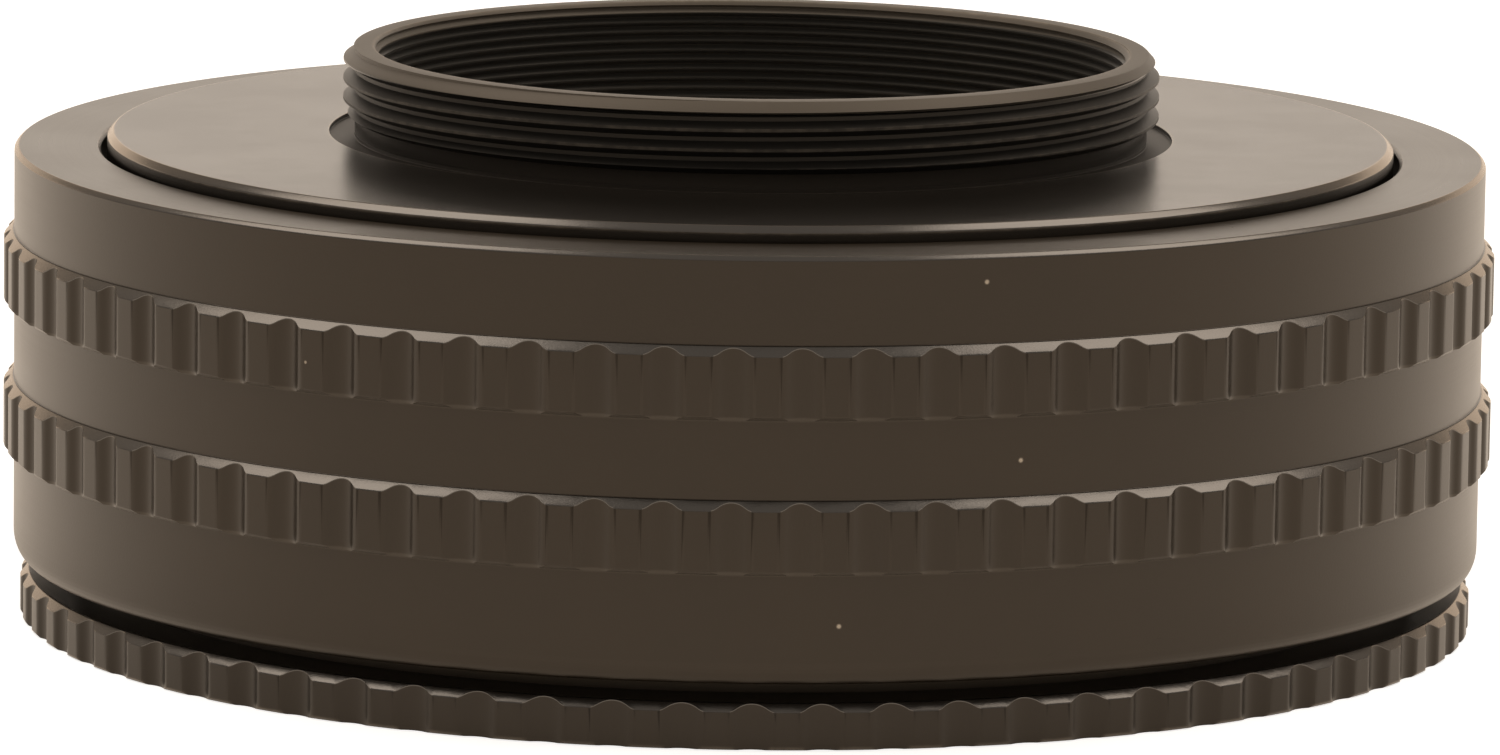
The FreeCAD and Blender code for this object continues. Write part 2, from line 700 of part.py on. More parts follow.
# grub screws that lock the foot ring, half in the ring and half in the barrel
foot_key_cos = math.cos(math.radians(FOOT_KEY_ANGLE))
foot_key_sin = math.sin(math.radians(FOOT_KEY_ANGLE))
foot_key_x = foot_bore_radius * foot_key_cos
foot_key_y = foot_bore_radius * foot_key_sin
foot_key_depth = size("foot_key_inset") + size("foot_key_length") + size("press_clearance")
for half in (lens_barrel, lens_mount_ring):
    seat = new_sketch(half, half.Label + "KeySeatOutline", "XY_Plane", 0)
    draw_circle(seat, foot_key_x, foot_key_y, size("foot_key_radius") + size("press_clearance"))
    seat_cut = extrude(half, "Pocket", half.Label + "KeySeat", seat, foot_key_depth, True)
    repeat(half, half.Label + "KeySeatRound", [seat_cut], SLOTS)
foot_keys = new_body("foot_keys")
grub = new_sketch(foot_keys, "GrubOutline", "XY_Plane", size("foot_key_inset"))
draw_circle(grub, foot_key_x, foot_key_y, size("foot_key_radius"))
grub_pad = extrude(foot_keys, "Pad", "Grub", grub, size("foot_key_length"), True)
socket = new_sketch(foot_keys, "SocketOutline", "XY_Plane", size("foot_key_inset"))
draw_circle(socket, foot_key_x, foot_key_y, size("foot_key_socket_radius"))
socket_cut = extrude(foot_keys, "Pocket", "Socket", socket, size("foot_key_socket_depth"), True)
repeat(foot_keys, "GrubRound", [grub_pad, socket_cut], SLOTS)


def screw_set(label, circle, seat, length, radius, head_radius, head_height, downward):
    """Make a ring of slotted countersunk screws."""
    screws = new_body(label)
    sketch = new_sketch(screws, label + "Outline", "XZ_Plane")
    sign = -1.0 if downward else 1.0
    draw_outline(sketch, [
        (circle, seat), (circle + head_radius, seat),
        (circle + radius, seat + head_height * sign),
        (circle + radius, seat + length * sign), (circle, seat + length * sign)])
    shape = screws.newObject("PartDesign::Revolution", label + "Turned")
    shape.Profile = sketch
    shape.ReferenceAxis = (sketch, ["Edge5"])
    shape.Angle = FULL_TURN
    screws.Tip = shape
    slot = new_sketch(screws, label + "SlotOutline", "XY_Plane", seat)
    draw_outline(slot, box_outline(
        circle - head_radius * SLOT_OVERRUN, circle + head_radius * SLOT_OVERRUN,
        size("screw_slot_width")))
    slot_cut = extrude(screws, "Pocket", label + "Slot", slot, size("screw_slot_depth"),
                       not downward)
    repeat(screws, label + "Round", [shape, slot_cut], SCREWS)
    return screws


sleeve_screw_length = (size("sleeve_flange_thickness") + size("web_thickness")
                       - size("slip_ring_play"))
barrel_screw_length = size("barrel_flange_thickness") + size("barrel_screw_bite")
sleeve_screws = screw_set(
    "sleeve_screws", sleeve_screw_circle, sleeve_top, sleeve_screw_length,
    size("sleeve_screw_radius"), size("sleeve_screw_head_radius"),
    size("sleeve_screw_head_height"), True)
barrel_screws = screw_set(
    "barrel_screws", barrel_screw_circle, barrel_web, barrel_screw_length,
    size("barrel_screw_radius"), size("barrel_screw_head_radius"),
    size("barrel_screw_head_height"), False)

SUB_PARTS = [
    mount_flange, camera_barrel, barrel_screws,
    focus_ring, helicoid_sleeve, sleeve_screws,
    guide_ring, *guide_keys, *slide_blocks, key_pins, block_pins, snap_ring, slip_ring,
    lens_barrel, lens_mount_ring, foot_keys,
]

doc.recompute()
for entry in doc.Objects:
    if "Invalid" in entry.State or "Error" in entry.State:
        raise RuntimeError("recompute failed at " + entry.Label)
for sub_part in SUB_PARTS:
    if sub_part.Shape.isNull() or not sub_part.Shape.isValid():
        raise RuntimeError("no sound shape in " + sub_part.Label)
os.makedirs("parts", exist_ok=True)
for sub_part in SUB_PARTS:
    box = sub_part.Shape.BoundBox
    print("%-16s solids %d volume %9.3f z %6.3f to %6.3f radius %6.3f" % (
        sub_part.Label, len(sub_part.Shape.Solids), sub_part.Shape.Volume,
        box.ZMin, box.ZMax, max(box.XMax, -box.XMin)))
    sub_part.Shape.exportStep("parts/%s.step" % sub_part.Label)
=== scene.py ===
"""Looks of the focusing helicoid adapter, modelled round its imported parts.

The part stands closed on its lens side, and the camera side is up. Sizes in this file are in
millimetres, as on a workshop drawing, and MM turns them into the metres of the meshes.
"""

from __future__ import annotations

import logging
import math
from dataclasses import dataclass, replace
from enum import Enum
from typing import Iterable, Sequence

import bpy
from mathutils import Matrix, Vector

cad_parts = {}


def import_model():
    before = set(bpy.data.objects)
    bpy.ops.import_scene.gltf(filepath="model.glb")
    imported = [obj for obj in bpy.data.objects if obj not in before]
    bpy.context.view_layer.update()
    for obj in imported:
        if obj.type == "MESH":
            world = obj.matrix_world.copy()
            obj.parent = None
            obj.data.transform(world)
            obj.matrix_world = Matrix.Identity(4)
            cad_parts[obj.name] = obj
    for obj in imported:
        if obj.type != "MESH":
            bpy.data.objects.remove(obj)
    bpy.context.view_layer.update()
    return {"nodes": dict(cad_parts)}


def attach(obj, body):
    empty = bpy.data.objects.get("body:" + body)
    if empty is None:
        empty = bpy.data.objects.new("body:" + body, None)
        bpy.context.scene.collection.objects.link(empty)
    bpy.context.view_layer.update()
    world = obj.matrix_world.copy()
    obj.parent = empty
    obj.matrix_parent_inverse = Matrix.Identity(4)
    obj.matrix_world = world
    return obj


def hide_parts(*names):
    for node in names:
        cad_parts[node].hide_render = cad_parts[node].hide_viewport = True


LOG = logging.getLogger("helicoid_adapter")

MM = 0.001
FULL_TURN = 2.0 * math.pi
MERGE_DISTANCE = 1e-7
SMOOTH_ANGLE = math.radians(28.0)
AXIS = (0.0, 0.0, 1.0)
CENTRE = (0.0, 0.0, 0.0)
FINE_STEPS = 288
FLUTE_ARCS = 8
LIP_ARCS = 7
FOOT_ARCS = 7
OVERCUT = 0.3
DEBURR = 0.05
DEBURR_SHARE = 0.42

Point = tuple[float, float]


class Hand(Enum):
    """Which way a screw thread winds, seen from the camera side."""

    RIGHT = 1
    LEFT = -1


class Side(Enum):
    """Whether a thread is cut outside on a shaft or inside in a bore."""

    OUTSIDE = 1
    INSIDE = -1


class Plane(Enum):
    """Plane in which an outline is drawn."""

    SIDE = "radius and height"
    TOP = "seen from above"


class Body(Enum):
    """The moving groups that the finished pieces ride on."""

    LENS_SIDE = "lens_side"
    FOCUS = "focus"
    CAMERA_SIDE = "camera_side"


class Slot(Enum):
    """The record's material slots, which no piece here is given."""

    BLACK_SATIN = "black_satin"
    BLACK_MATT = "black_matt"


# modelling


def select_nothing() -> None:
    """Go back to object mode and deselect every object."""
    if bpy.context.object is not None and bpy.context.object.mode != "OBJECT":
        bpy.ops.object.mode_set(mode="OBJECT")
    bpy.ops.object.select_all(action="DESELECT")


def select_only(target: bpy.types.Object) -> None:
    """Make one object the active and the only selected one.

    Args:
        target: The object to work on.
    """
    select_nothing()
    target.select_set(True)
    bpy.context.view_layer.objects.active = target


class Workpiece:
    """A mesh object under work, shaped with Blender's own edit tools."""

    def __init__(self, name: str) -> None:
        """Start with one vertex on the optical axis.

        Args:
            name: The name of the object and its mesh.
        """
        select_nothing()
        bpy.ops.mesh.primitive_plane_add(size=MM, location=CENTRE)
        self.thing = bpy.context.object
        self.thing.name = name
        self.thing.data.name = name
        self.edit()
        bpy.ops.mesh.select_all(action="SELECT")
        bpy.ops.mesh.merge(type="CENTER")

    def edit(self) -> None:
        """Go into edit mode on this mesh alone."""
        select_only(self.thing)
        bpy.ops.object.mode_set(mode="EDIT")
        bpy.ops.mesh.select_mode(type="VERT")

    def leave(self) -> None:
        """Go back to object mode."""
        if self.thing.mode == "EDIT":
            bpy.ops.object.mode_set(mode="OBJECT")

    def draw(self, outline: Sequence[Point], plane: Plane = Plane.SIDE) -> None:
        """Draw a closed outline from the single start vertex.

        Args:
            outline: Corners as radius and height, or as X and Y, in millimetres.
            plane: The plane that the corners lie in.
        """
        here = Vector(CENTRE)
        for index, (across, along) in enumerate([*outline, outline[0]]):
            upright = plane is Plane.SIDE
            there = Vector((across, 0.0, along) if upright else (across, along, 0.0)) * MM
            if index == 0:
                bpy.ops.transform.translate(value=there)
            else:
                step = there - here
                bpy.ops.mesh.extrude_vertices_move(TRANSFORM_OT_translate={"value": step})
            here = there
        bpy.ops.mesh.select_all(action="SELECT")
        bpy.ops.mesh.remove_doubles(threshold=MERGE_DISTANCE)

    def spin(self, angle: float, steps: int) -> None:
        """Sweep the selection about the optical axis.

        Args:
            angle: Sweep in radians.
            steps: Number of facets in the sweep.
        """
        bpy.ops.mesh.spin(steps=steps, angle=angle, center=CENTRE, axis=AXIS)

    def turn(self, angle: float) -> None:
        """Turn the selection about the optical axis, anticlockwise from above.

        Args:
            angle: Angle in degrees.
        """
        bpy.ops.transform.rotate(
            value=-math.radians(angle), orient_axis="Z", center_override=CENTRE)

    def copy_round(self, count: int) -> None:
        """Copy the whole mesh evenly round the optical axis, and leave all of it selected.

        Args:
            count: Number of places, the first one included.
        """
        bpy.ops.mesh.select_all(action="SELECT")
        angle = FULL_TURN * (count - 1) / count
        bpy.ops.mesh.spin(steps=count - 1, dupli=True, angle=angle, center=CENTRE, axis=AXIS)
        bpy.ops.mesh.select_all(action="SELECT")

    def seal(self) -> None:
        """Merge what meets, and turn every face outwards."""
        bpy.ops.mesh.select_all(action="SELECT")
        bpy.ops.mesh.remove_doubles(threshold=MERGE_DISTANCE)
        bpy.ops.mesh.normals_make_consistent(inside=False)

    def cap(self) -> None:
        """Close the open ends of a sweep."""
        bpy.ops.mesh.select_all(action="DESELECT")
        bpy.ops.mesh.select_non_manifold(extend=False)
        bpy.ops.mesh.fill_holes(sides=0)

    def subtract(self, cutter: "Workpiece") -> None:
        """Cut another workpiece out of this one and drop it.

        Args:
            cutter: The closed shape to cut away.
        """
        cutter.leave()
        select_only(self.thing)
        cut = self.thing.modifiers.new("cut", "BOOLEAN")
        cut.operation = "DIFFERENCE"
        cut.solver = "MANIFOLD"
        cut.object = cutter.thing
        bpy.ops.object.modifier_apply(modifier=cut.name)
        bpy.data.objects.remove(cutter.thing)

    def smooth(self) -> bpy.types.Object:
        """Shade the finished mesh smooth up to its sharp edges.

        Returns:
            The finished object.
        """
        select_only(self.thing)
        bpy.ops.object.shade_smooth_by_angle(angle=SMOOTH_ANGLE)
        weighted = self.thing.modifiers.new("large faces first", "WEIGHTED_NORMAL")
        weighted.keep_sharp = True
        bpy.ops.object.modifier_apply(modifier=weighted.name)
        return self.thing


def turned(name: str, outline: Sequence[Point], steps: int) -> Workpiece:
    """Turn a closed outline into a ring, as on a lathe.

    Args:
        name: The piece's name.
        outline: Corners as radius and height, in millimetres.
        steps: Facets round the axis.

    Returns:
        The workpiece, still in edit mode.
    """
    work = Workpiece(name)
    work.draw(outline)
    work.spin(FULL_TURN, steps)
    work.seal()
    return work


def rounded(outline: Sequence[Point], radius: float = DEBURR, arc_steps: int = 3) -> list[Point]:
    """Round the corners of a closed outline a little, as a deburred edge is.

    Args:
        outline: Corners as radius and height, in millimetres.
        radius: Largest set-back from a corner, in millimetres.
        arc_steps: Chords in each rounding.

    Returns:
        The outline with each corner replaced by a short arc.
    """
    result: list[Point] = []
    count = len(outline)
    for index, corner in enumerate(outline):
        here = Vector(corner)
        before = Vector(outline[index - 1]) - here
        after = Vector(outline[(index + 1) % count]) - here
        reach = min(radius, before.length * DEBURR_SHARE, after.length * DEBURR_SHARE)
        start = here + before.normalized() * reach
        end = here + after.normalized() * reach
        for step in range(arc_steps + 1):
            share = step / arc_steps
            point = (start * (1 - share) ** 2 + here * (2 * share * (1 - share)) + end * share ** 2)
            result.append((point.x, point.y))
    return result


@dataclass(frozen=True)
class Thread:
    """A screw thread cut as helical grooves in a cylinder.

    Args:
        radius: Crest radius of the thread, in millimetres.
        pitch: Distance between neighbouring grooves along the axis.
        depth: Groove depth.
        mouth: Groove width at the crest.
        floor: Groove width at the bottom.
        bottom: Height at which the grooves start.
        top: Height at which they end.
        starts: Number of separate grooves.
        hand: Which way it winds.
        side: Outside or inside.
        phase: Angle of the first groove, in degrees.
        steps: Facets in a turn.
        overcut: How far the cutter stands off the cylinder.
    """

    radius: float
    pitch: float
    depth: float
    mouth: float
    floor: float
    bottom: float
    top: float
    starts: int = 1
    hand: Hand = Hand.RIGHT
    side: Side = Side.OUTSIDE
    phase: float = 0.0
    steps: int = 240
    overcut: float = 0.15

    def cutter(self, name: str) -> Workpiece:
        """Sweep the groove's section along its helix.

        Args:
            name: Name of the cutter.

        Returns:
            The closed cutter.
        """
        outward = self.side.value
        slope = (self.mouth - self.floor) / 2 / self.depth
        wide = self.floor / 2 + (self.depth + self.overcut) * slope
        inner = self.radius - outward * self.depth
        outer = self.radius + outward * self.overcut
        work = Workpiece(name)
        work.draw([
            (inner, self.bottom - self.floor / 2), (outer, self.bottom - wide),
            (outer, self.bottom + wide), (inner, self.bottom + self.floor / 2)])
        lead = self.pitch * self.starts
        turns = (self.top - self.bottom) / lead
        work.leave()
        sweep = work.thing.modifiers.new("helix", "SCREW")
        sweep.axis = "Z"
        sweep.angle = FULL_TURN * turns * self.hand.value
        sweep.screw_offset = (self.top - self.bottom) * MM
        sweep.steps = sweep.render_steps = max(3, round(self.steps * turns))
        sweep.use_merge_vertices = False
        select_only(work.thing)
        bpy.ops.object.modifier_apply(modifier=sweep.name)
        work.edit()
        work.cap()
        if self.starts > 1:
            work.copy_round(self.starts)
        bpy.ops.mesh.select_all(action="SELECT")
        work.turn(self.phase)
        bpy.ops.mesh.normals_make_consistent(inside=False)
        return work


@dataclass(frozen=True)
class Drill:
    """Round or stepped holes on a circle, cut along the optical axis.

    Args:
        circle: Radius of the hole circle, in millimetres.
        outline: Hole radius and height, from one end of its axis to the other.
        angle: Angle of the first hole, in degrees.
        count: Number of holes.
        steps: Facets round a hole.
    """

    circle: float
    outline: tuple[Point, ...]
    angle: float
    count: int
    steps: int = 32

    def cutter(self, name: str) -> Workpiece:
        """Turn the hole's shape and copy it round.

        Args:
            name: Name of the cutter.

        Returns:
            The closed cutter.
        """
        work = turned(name, self.outline, self.steps)
        bpy.ops.mesh.select_all(action="SELECT")
        angle = math.radians(self.angle)
        place = (self.circle * MM * math.cos(angle), self.circle * MM * math.sin(angle), 0.0)
        bpy.ops.transform.translate(value=place)
        work.copy_round(self.count)
        bpy.ops.mesh.normals_make_consistent(inside=False)
        return work


@dataclass(frozen=True)
class Milling:
    """Upright cuts of one section, repeated round the optical axis.

    Args:
        section: Corners in X and Y, in millimetres, for the cut that faces along X.
        bottom: Height of the cut's lower end.
        top: Height of its upper end.
        angle: Angle of the first cut, in degrees.
        count: Number of cuts.
    """

    section: tuple[Point, ...]
    bottom: float
    top: float
    angle: float
    count: int

    def cutter(self, name: str) -> Workpiece:
        """Draw the section, raise it to its height and copy it round.

        Args:
            name: Name of the cutter.

        Returns:
            The closed cutter.
        """
        work = Workpiece(name)
        work.draw(self.section, Plane.TOP)
        bpy.ops.mesh.edge_face_add()
        bpy.ops.transform.translate(value=(0.0, 0.0, self.bottom * MM))
        rise = (0.0, 0.0, (self.top - self.bottom) * MM)
        bpy.ops.mesh.extrude_region_move(TRANSFORM_OT_translate={"value": rise})
        bpy.ops.mesh.select_all(action="SELECT")
        work.turn(self.angle)
        work.copy_round(self.count)
        bpy.ops.mesh.normals_make_consistent(inside=False)
        return work


def flute_section(crest: float, depth: float, mill: float, lip: float) -> tuple[Point, ...]:
    """Section of a grip scallop with round lips.

    Args:
        crest: Radius of the grip's lands, in millimetres.
        depth: Depth of the scallop.
        mill: Radius of the round milling tool.
        lip: Radius of the round lips.

    Returns:
        Corners in X and Y for a scallop that faces along X.
    """
    centre = crest - depth + mill
    ridge = crest - lip
    reach = (centre ** 2 + ridge ** 2 - (mill + lip) ** 2) / (2 * centre * ridge)
    beta = math.acos(reach)
    lip_centre = Vector((ridge * math.cos(beta), ridge * math.sin(beta)))
    mill_centre = Vector((centre, 0.0))
    towards = lip_centre - mill_centre
    half = math.atan2(towards.y, -towards.x)
    side: list[Point] = []
    for step in range(FLUTE_ARCS):
        angle = half * step / FLUTE_ARCS
        side.append((centre - mill * math.cos(angle), mill * math.sin(angle)))
    for step in range(LIP_ARCS + 1):
        angle = (beta + half) * step / LIP_ARCS - half
        side.append((lip_centre.x + lip * math.cos(angle), lip_centre.y + lip * math.sin(angle)))
    outside = crest + OVERCUT
    side.append((outside * math.cos(beta), outside * math.sin(beta)))
    mirrored = [(across, -along) for across, along in reversed(side[1:])]
    return tuple(mirrored + side)


def slot_section(inner: float, outer: float, width: float) -> tuple[Point, ...]:
    """Section of a straight slot that faces along X.

    Args:
        inner: Distance of its near side from the axis, in millimetres.
        outer: Distance of its floor.
        width: Width across.

    Returns:
        Corners in X and Y.
    """
    half = width / 2
    return ((inner, -half), (outer, -half), (outer, half), (inner, half))


# finishes

NOISE_ROUGHNESS = 0.6
SKIN_DETAIL = 3.0
WEAR_DETAIL = 4.0
BLUR = 0.02

class Signal:
    """A number in a shader, with Python's operators as its maths."""

    def __init__(self, board: "Board", socket: bpy.types.NodeSocket) -> None:
        """Keep the socket and the board that it is on."""
        self.board = board
        self.socket = socket

    def _join(self, operation: str, first: "Signal | float", second: "Signal | float") -> "Signal":
        """Add a Math node.

        Args:
            operation: The node's operation.
            first: Its first value.
            second: Its second value.

        Returns:
            The node's result.
        """
        return self.board.value("ShaderNodeMath", {"operation": operation}, {0: first, 1: second})

    def __add__(self, other: "Signal | float") -> "Signal":
        """Sum of this and another value."""
        return self._join("ADD", self, other)

    def __radd__(self, other: "Signal | float") -> "Signal":
        """Sum of another value and this."""
        return self._join("ADD", other, self)

    def __sub__(self, other: "Signal | float") -> "Signal":
        """This less another value."""
        return self._join("SUBTRACT", self, other)

    def __rsub__(self, other: "Signal | float") -> "Signal":
        """Another value less this."""
        return self._join("SUBTRACT", other, self)

    def __mul__(self, other: "Signal | float") -> "Signal":
        """Product of this and another value."""
        return self._join("MULTIPLY", self, other)

    def __rmul__(self, other: "Signal | float") -> "Signal":
        """Product of another value and this."""
        return self._join("MULTIPLY", other, self)

    def __pow__(self, other: "Signal | float") -> "Signal":
        """This value raised to a power."""
        return self._join("POWER", self, other)

    def greatest(self, other: "Signal | float") -> "Signal":
        """The greater of this and another value."""
        return self._join("MAXIMUM", self, other)

    def ramp(self, low: float, high: float) -> "Signal":
        """Rise smoothly from 0 at one value to 1 at another.

        Args:
            low: Value that gives 0.
            high: Value that gives 1.

        Returns:
            The eased share.
        """
        return self.board.value(
            "ShaderNodeMapRange", {"interpolation_type": "SMOOTHSTEP"},
            {"Value": self, "From Min": low, "From Max": high})


class Board:
    """The node tree of a material or of the world."""

    def __init__(self, owner: bpy.types.Material | bpy.types.World, output: str) -> None:
        """Clear the owner's nodes and add its output.

        Args:
            owner: The material or the world.
            output: Type of its output node.
        """
        owner.use_nodes = True
        self.tree = owner.node_tree
        self.tree.nodes.clear()
        self.output = self.node(output)

    def surface(self, shader: bpy.types.Node) -> None:
        """Send a shader to the output.

        Args:
            shader: The shader's node.
        """
        self.tree.links.new(shader.outputs[0], self.output.inputs["Surface"])

    def node(self, kind: str, settings: dict[str, object] | None = None,
             inputs: dict[str | int, object] | None = None) -> bpy.types.Node:
        """Add a node.

        Args:
            kind: The node's type.
            settings: Its settings, set before its sockets.
            inputs: Values and links of its sockets.

        Returns:
            The node.
        """
        made = self.tree.nodes.new(kind)
        for key, setting in (settings or {}).items():
            setattr(made, key, setting)
        for key, given in (inputs or {}).items():
            source = given.socket if isinstance(given, Signal) else given
            if isinstance(source, bpy.types.NodeSocket):
                self.tree.links.new(source, made.inputs[key])
            else:
                made.inputs[key].default_value = source
        return made

    def value(self, kind: str, settings: dict[str, object] | None = None,
              inputs: dict[str | int, object] | None = None, output: str | int = 0) -> Signal:
        """Add a node and take one of its outputs as a value.

        Args:
            kind: The node's type.
            settings: Its settings.
            inputs: Values and links of its sockets.
            output: The output's name or number.

        Returns:
            The output.
        """
        return Signal(self, self.node(kind, settings, inputs).outputs[output])

    def mix(self, share: Signal | float, first: object, second: object) -> bpy.types.NodeSocket:
        """Mix two colours.

        Args:
            share: Share of the second colour.
            first: A colour or a socket.
            second: A colour or a socket.

        Returns:
            The mixed colour.
        """
        node = self.node("ShaderNodeMix", {"data_type": "RGBA"}, {0: share, 6: first, 7: second})
        return node.outputs[2]


@dataclass(frozen=True)
class Place:
    """Where a point of a piece is, in millimetres, as shader values."""

    where: bpy.types.NodeSocket
    radius: Signal
    height: Signal

    @classmethod
    def on(cls, board: Board) -> "Place":
        """Read the Object coordinates.

        Args:
            board: The material's board.

        Returns:
            The place, its distance from the optical axis and its height.
        """
        raw = board.node("ShaderNodeTexCoord").outputs["Object"]
        scaled = board.node("ShaderNodeVectorMath", {"operation": "SCALE"}, {0: raw, "Scale": 1 / MM})
        split = board.node("ShaderNodeSeparateXYZ", None, {0: scaled.outputs[0]})
        flat = board.node("ShaderNodeCombineXYZ", None, {0: split.outputs[0], 1: split.outputs[1]})
        length = board.value(
            "ShaderNodeVectorMath", {"operation": "LENGTH"}, {0: flat.outputs[0]}, "Value")
        return cls(scaled.outputs[0], length, Signal(board, split.outputs[2]))

    def rings(self, board: Board, scale: float, detail: float) -> Signal:
        """Noise that runs round the axis, as turning marks do.

        Args:
            board: The material's board.
            scale: Marks for each millimetre.
            detail: Octaves of the noise.

        Returns:
            The noise.
        """
        across = board.node("ShaderNodeCombineXYZ", None, {0: self.radius, 2: self.height})
        return board.value(
            "ShaderNodeTexNoise", None,
            {"Vector": across.outputs[0], "Scale": scale, "Detail": detail, "Roughness": NOISE_ROUGHNESS})

    def between(self, low: float, high: float, blur: float = BLUR) -> Signal:
        """Where the height lies in a range.

        Args:
            low: The lowest height.
            high: The highest height.
            blur: Width of the soft ends, outside the range.

        Returns:
            1 in the range and 0 outside.
        """
        return self.height.ramp(low - blur, low) * (1.0 - self.height.ramp(high, high + blur))

    def grain(self, board: Board, scale: float, detail: float) -> Signal:
        """Even noise all over the piece.

        Args:
            board: The material's board.
            scale: Grains for each millimetre.
            detail: Octaves of the noise.

        Returns:
            The noise.
        """
        return board.value(
            "ShaderNodeTexNoise", None,
            {"Vector": self.where, "Scale": scale, "Detail": detail, "Roughness": NOISE_ROUGHNESS})


Colour = tuple[float, float, float, float]
Lines = tuple[float, ...]
Bevel = tuple[float, float, float]


@dataclass(frozen=True)
class Zones:
    """Widths of the marks in a finish, in millimetres, and how strongly each zone shows.

    A pair of widths holds where a mark begins to fade and where it ends. A pair in a scale's place
    holds the noise values between which a mark breaks up.

    Args:
        wear_scale: Patches of edge wear for each millimetre.
        wear_break: Noise values between which edge wear breaks up.
        wear_least: Share of the wear that is left between the patches.
        line_fade: Half width of a light line.
        line_share: How much of the worn colour a light line shows.
        speck_scale: Specks for each millimetre.
        speck_fade: Radius of a speck.
        spot_fade: Radius of a single light speck.
        bevel_fade: Distance from a bright bevel's cone.
        bevel_ends: Width of the soft ends of a bevel.
        thread_reach: How far below its crests a thread's zone begins.
        crest_reach: How far below its crests the lighter crest colour reaches.
        crest_scale: Patches of lighter crest colour for each millimetre.
        crest_break: Noise values between which the lighter crest colour breaks up.
        crest_wear_and_highlight_share: How much of the worn colour the crests show, as rubbed wear and a
            painted highlight.
        cloud_scale: Clouds of colour for each millimetre.
        cloud_break: Noise values between which one cloud turns into the next.
        rim_sheen_share: How much of the worn colour the rim takes, as a painted sheen.
        bare_shine: How metallic a bare spot looks.
    """

    wear_scale: float = 0.9
    wear_break: Point = (0.35, 0.75)
    wear_least: float = 0.4
    line_fade: Point = (0.06, 0.17)
    line_share: float = 0.13
    speck_scale: float = 0.42
    speck_fade: Point = (0.02, 0.045)
    spot_fade: Point = (0.05, 0.17)
    bevel_fade: Point = (0.02, 0.07)
    bevel_ends: float = 0.05
    thread_reach: Point = (-0.8, -0.7)
    crest_reach: Point = (-0.07, -0.02)
    crest_scale: float = 1.4
    crest_break: Point = (0.35, 0.7)
    crest_wear_and_highlight_share: float = 0.14
    cloud_scale: float = 0.12
    cloud_break: Point = (0.3, 0.7)
    rim_sheen_share: float = 0.30
    bare_shine: float = 0.8


@dataclass(frozen=True)
class Roughening:
    """How much each zone of a finish adds to its roughness.

    Args:
        rings: Swing along the turning marks.
        cloud: Swing between the clouds.
        bare: Bare spots.
        relief: The coarsely turned recess.
        bore: The light-proofed bore.
        thread: The thread.
        rim: The duller rim.
        bevel: The bright bevels.
    """

    rings: float = 0.04
    cloud: float = 0.02
    bare: float = -0.06
    relief: float = 0.22
    bore: float = 0.10
    thread: float = 0.20
    rim: float = 0.24
    bevel: float = -0.05


ROUGHENING = Roughening()


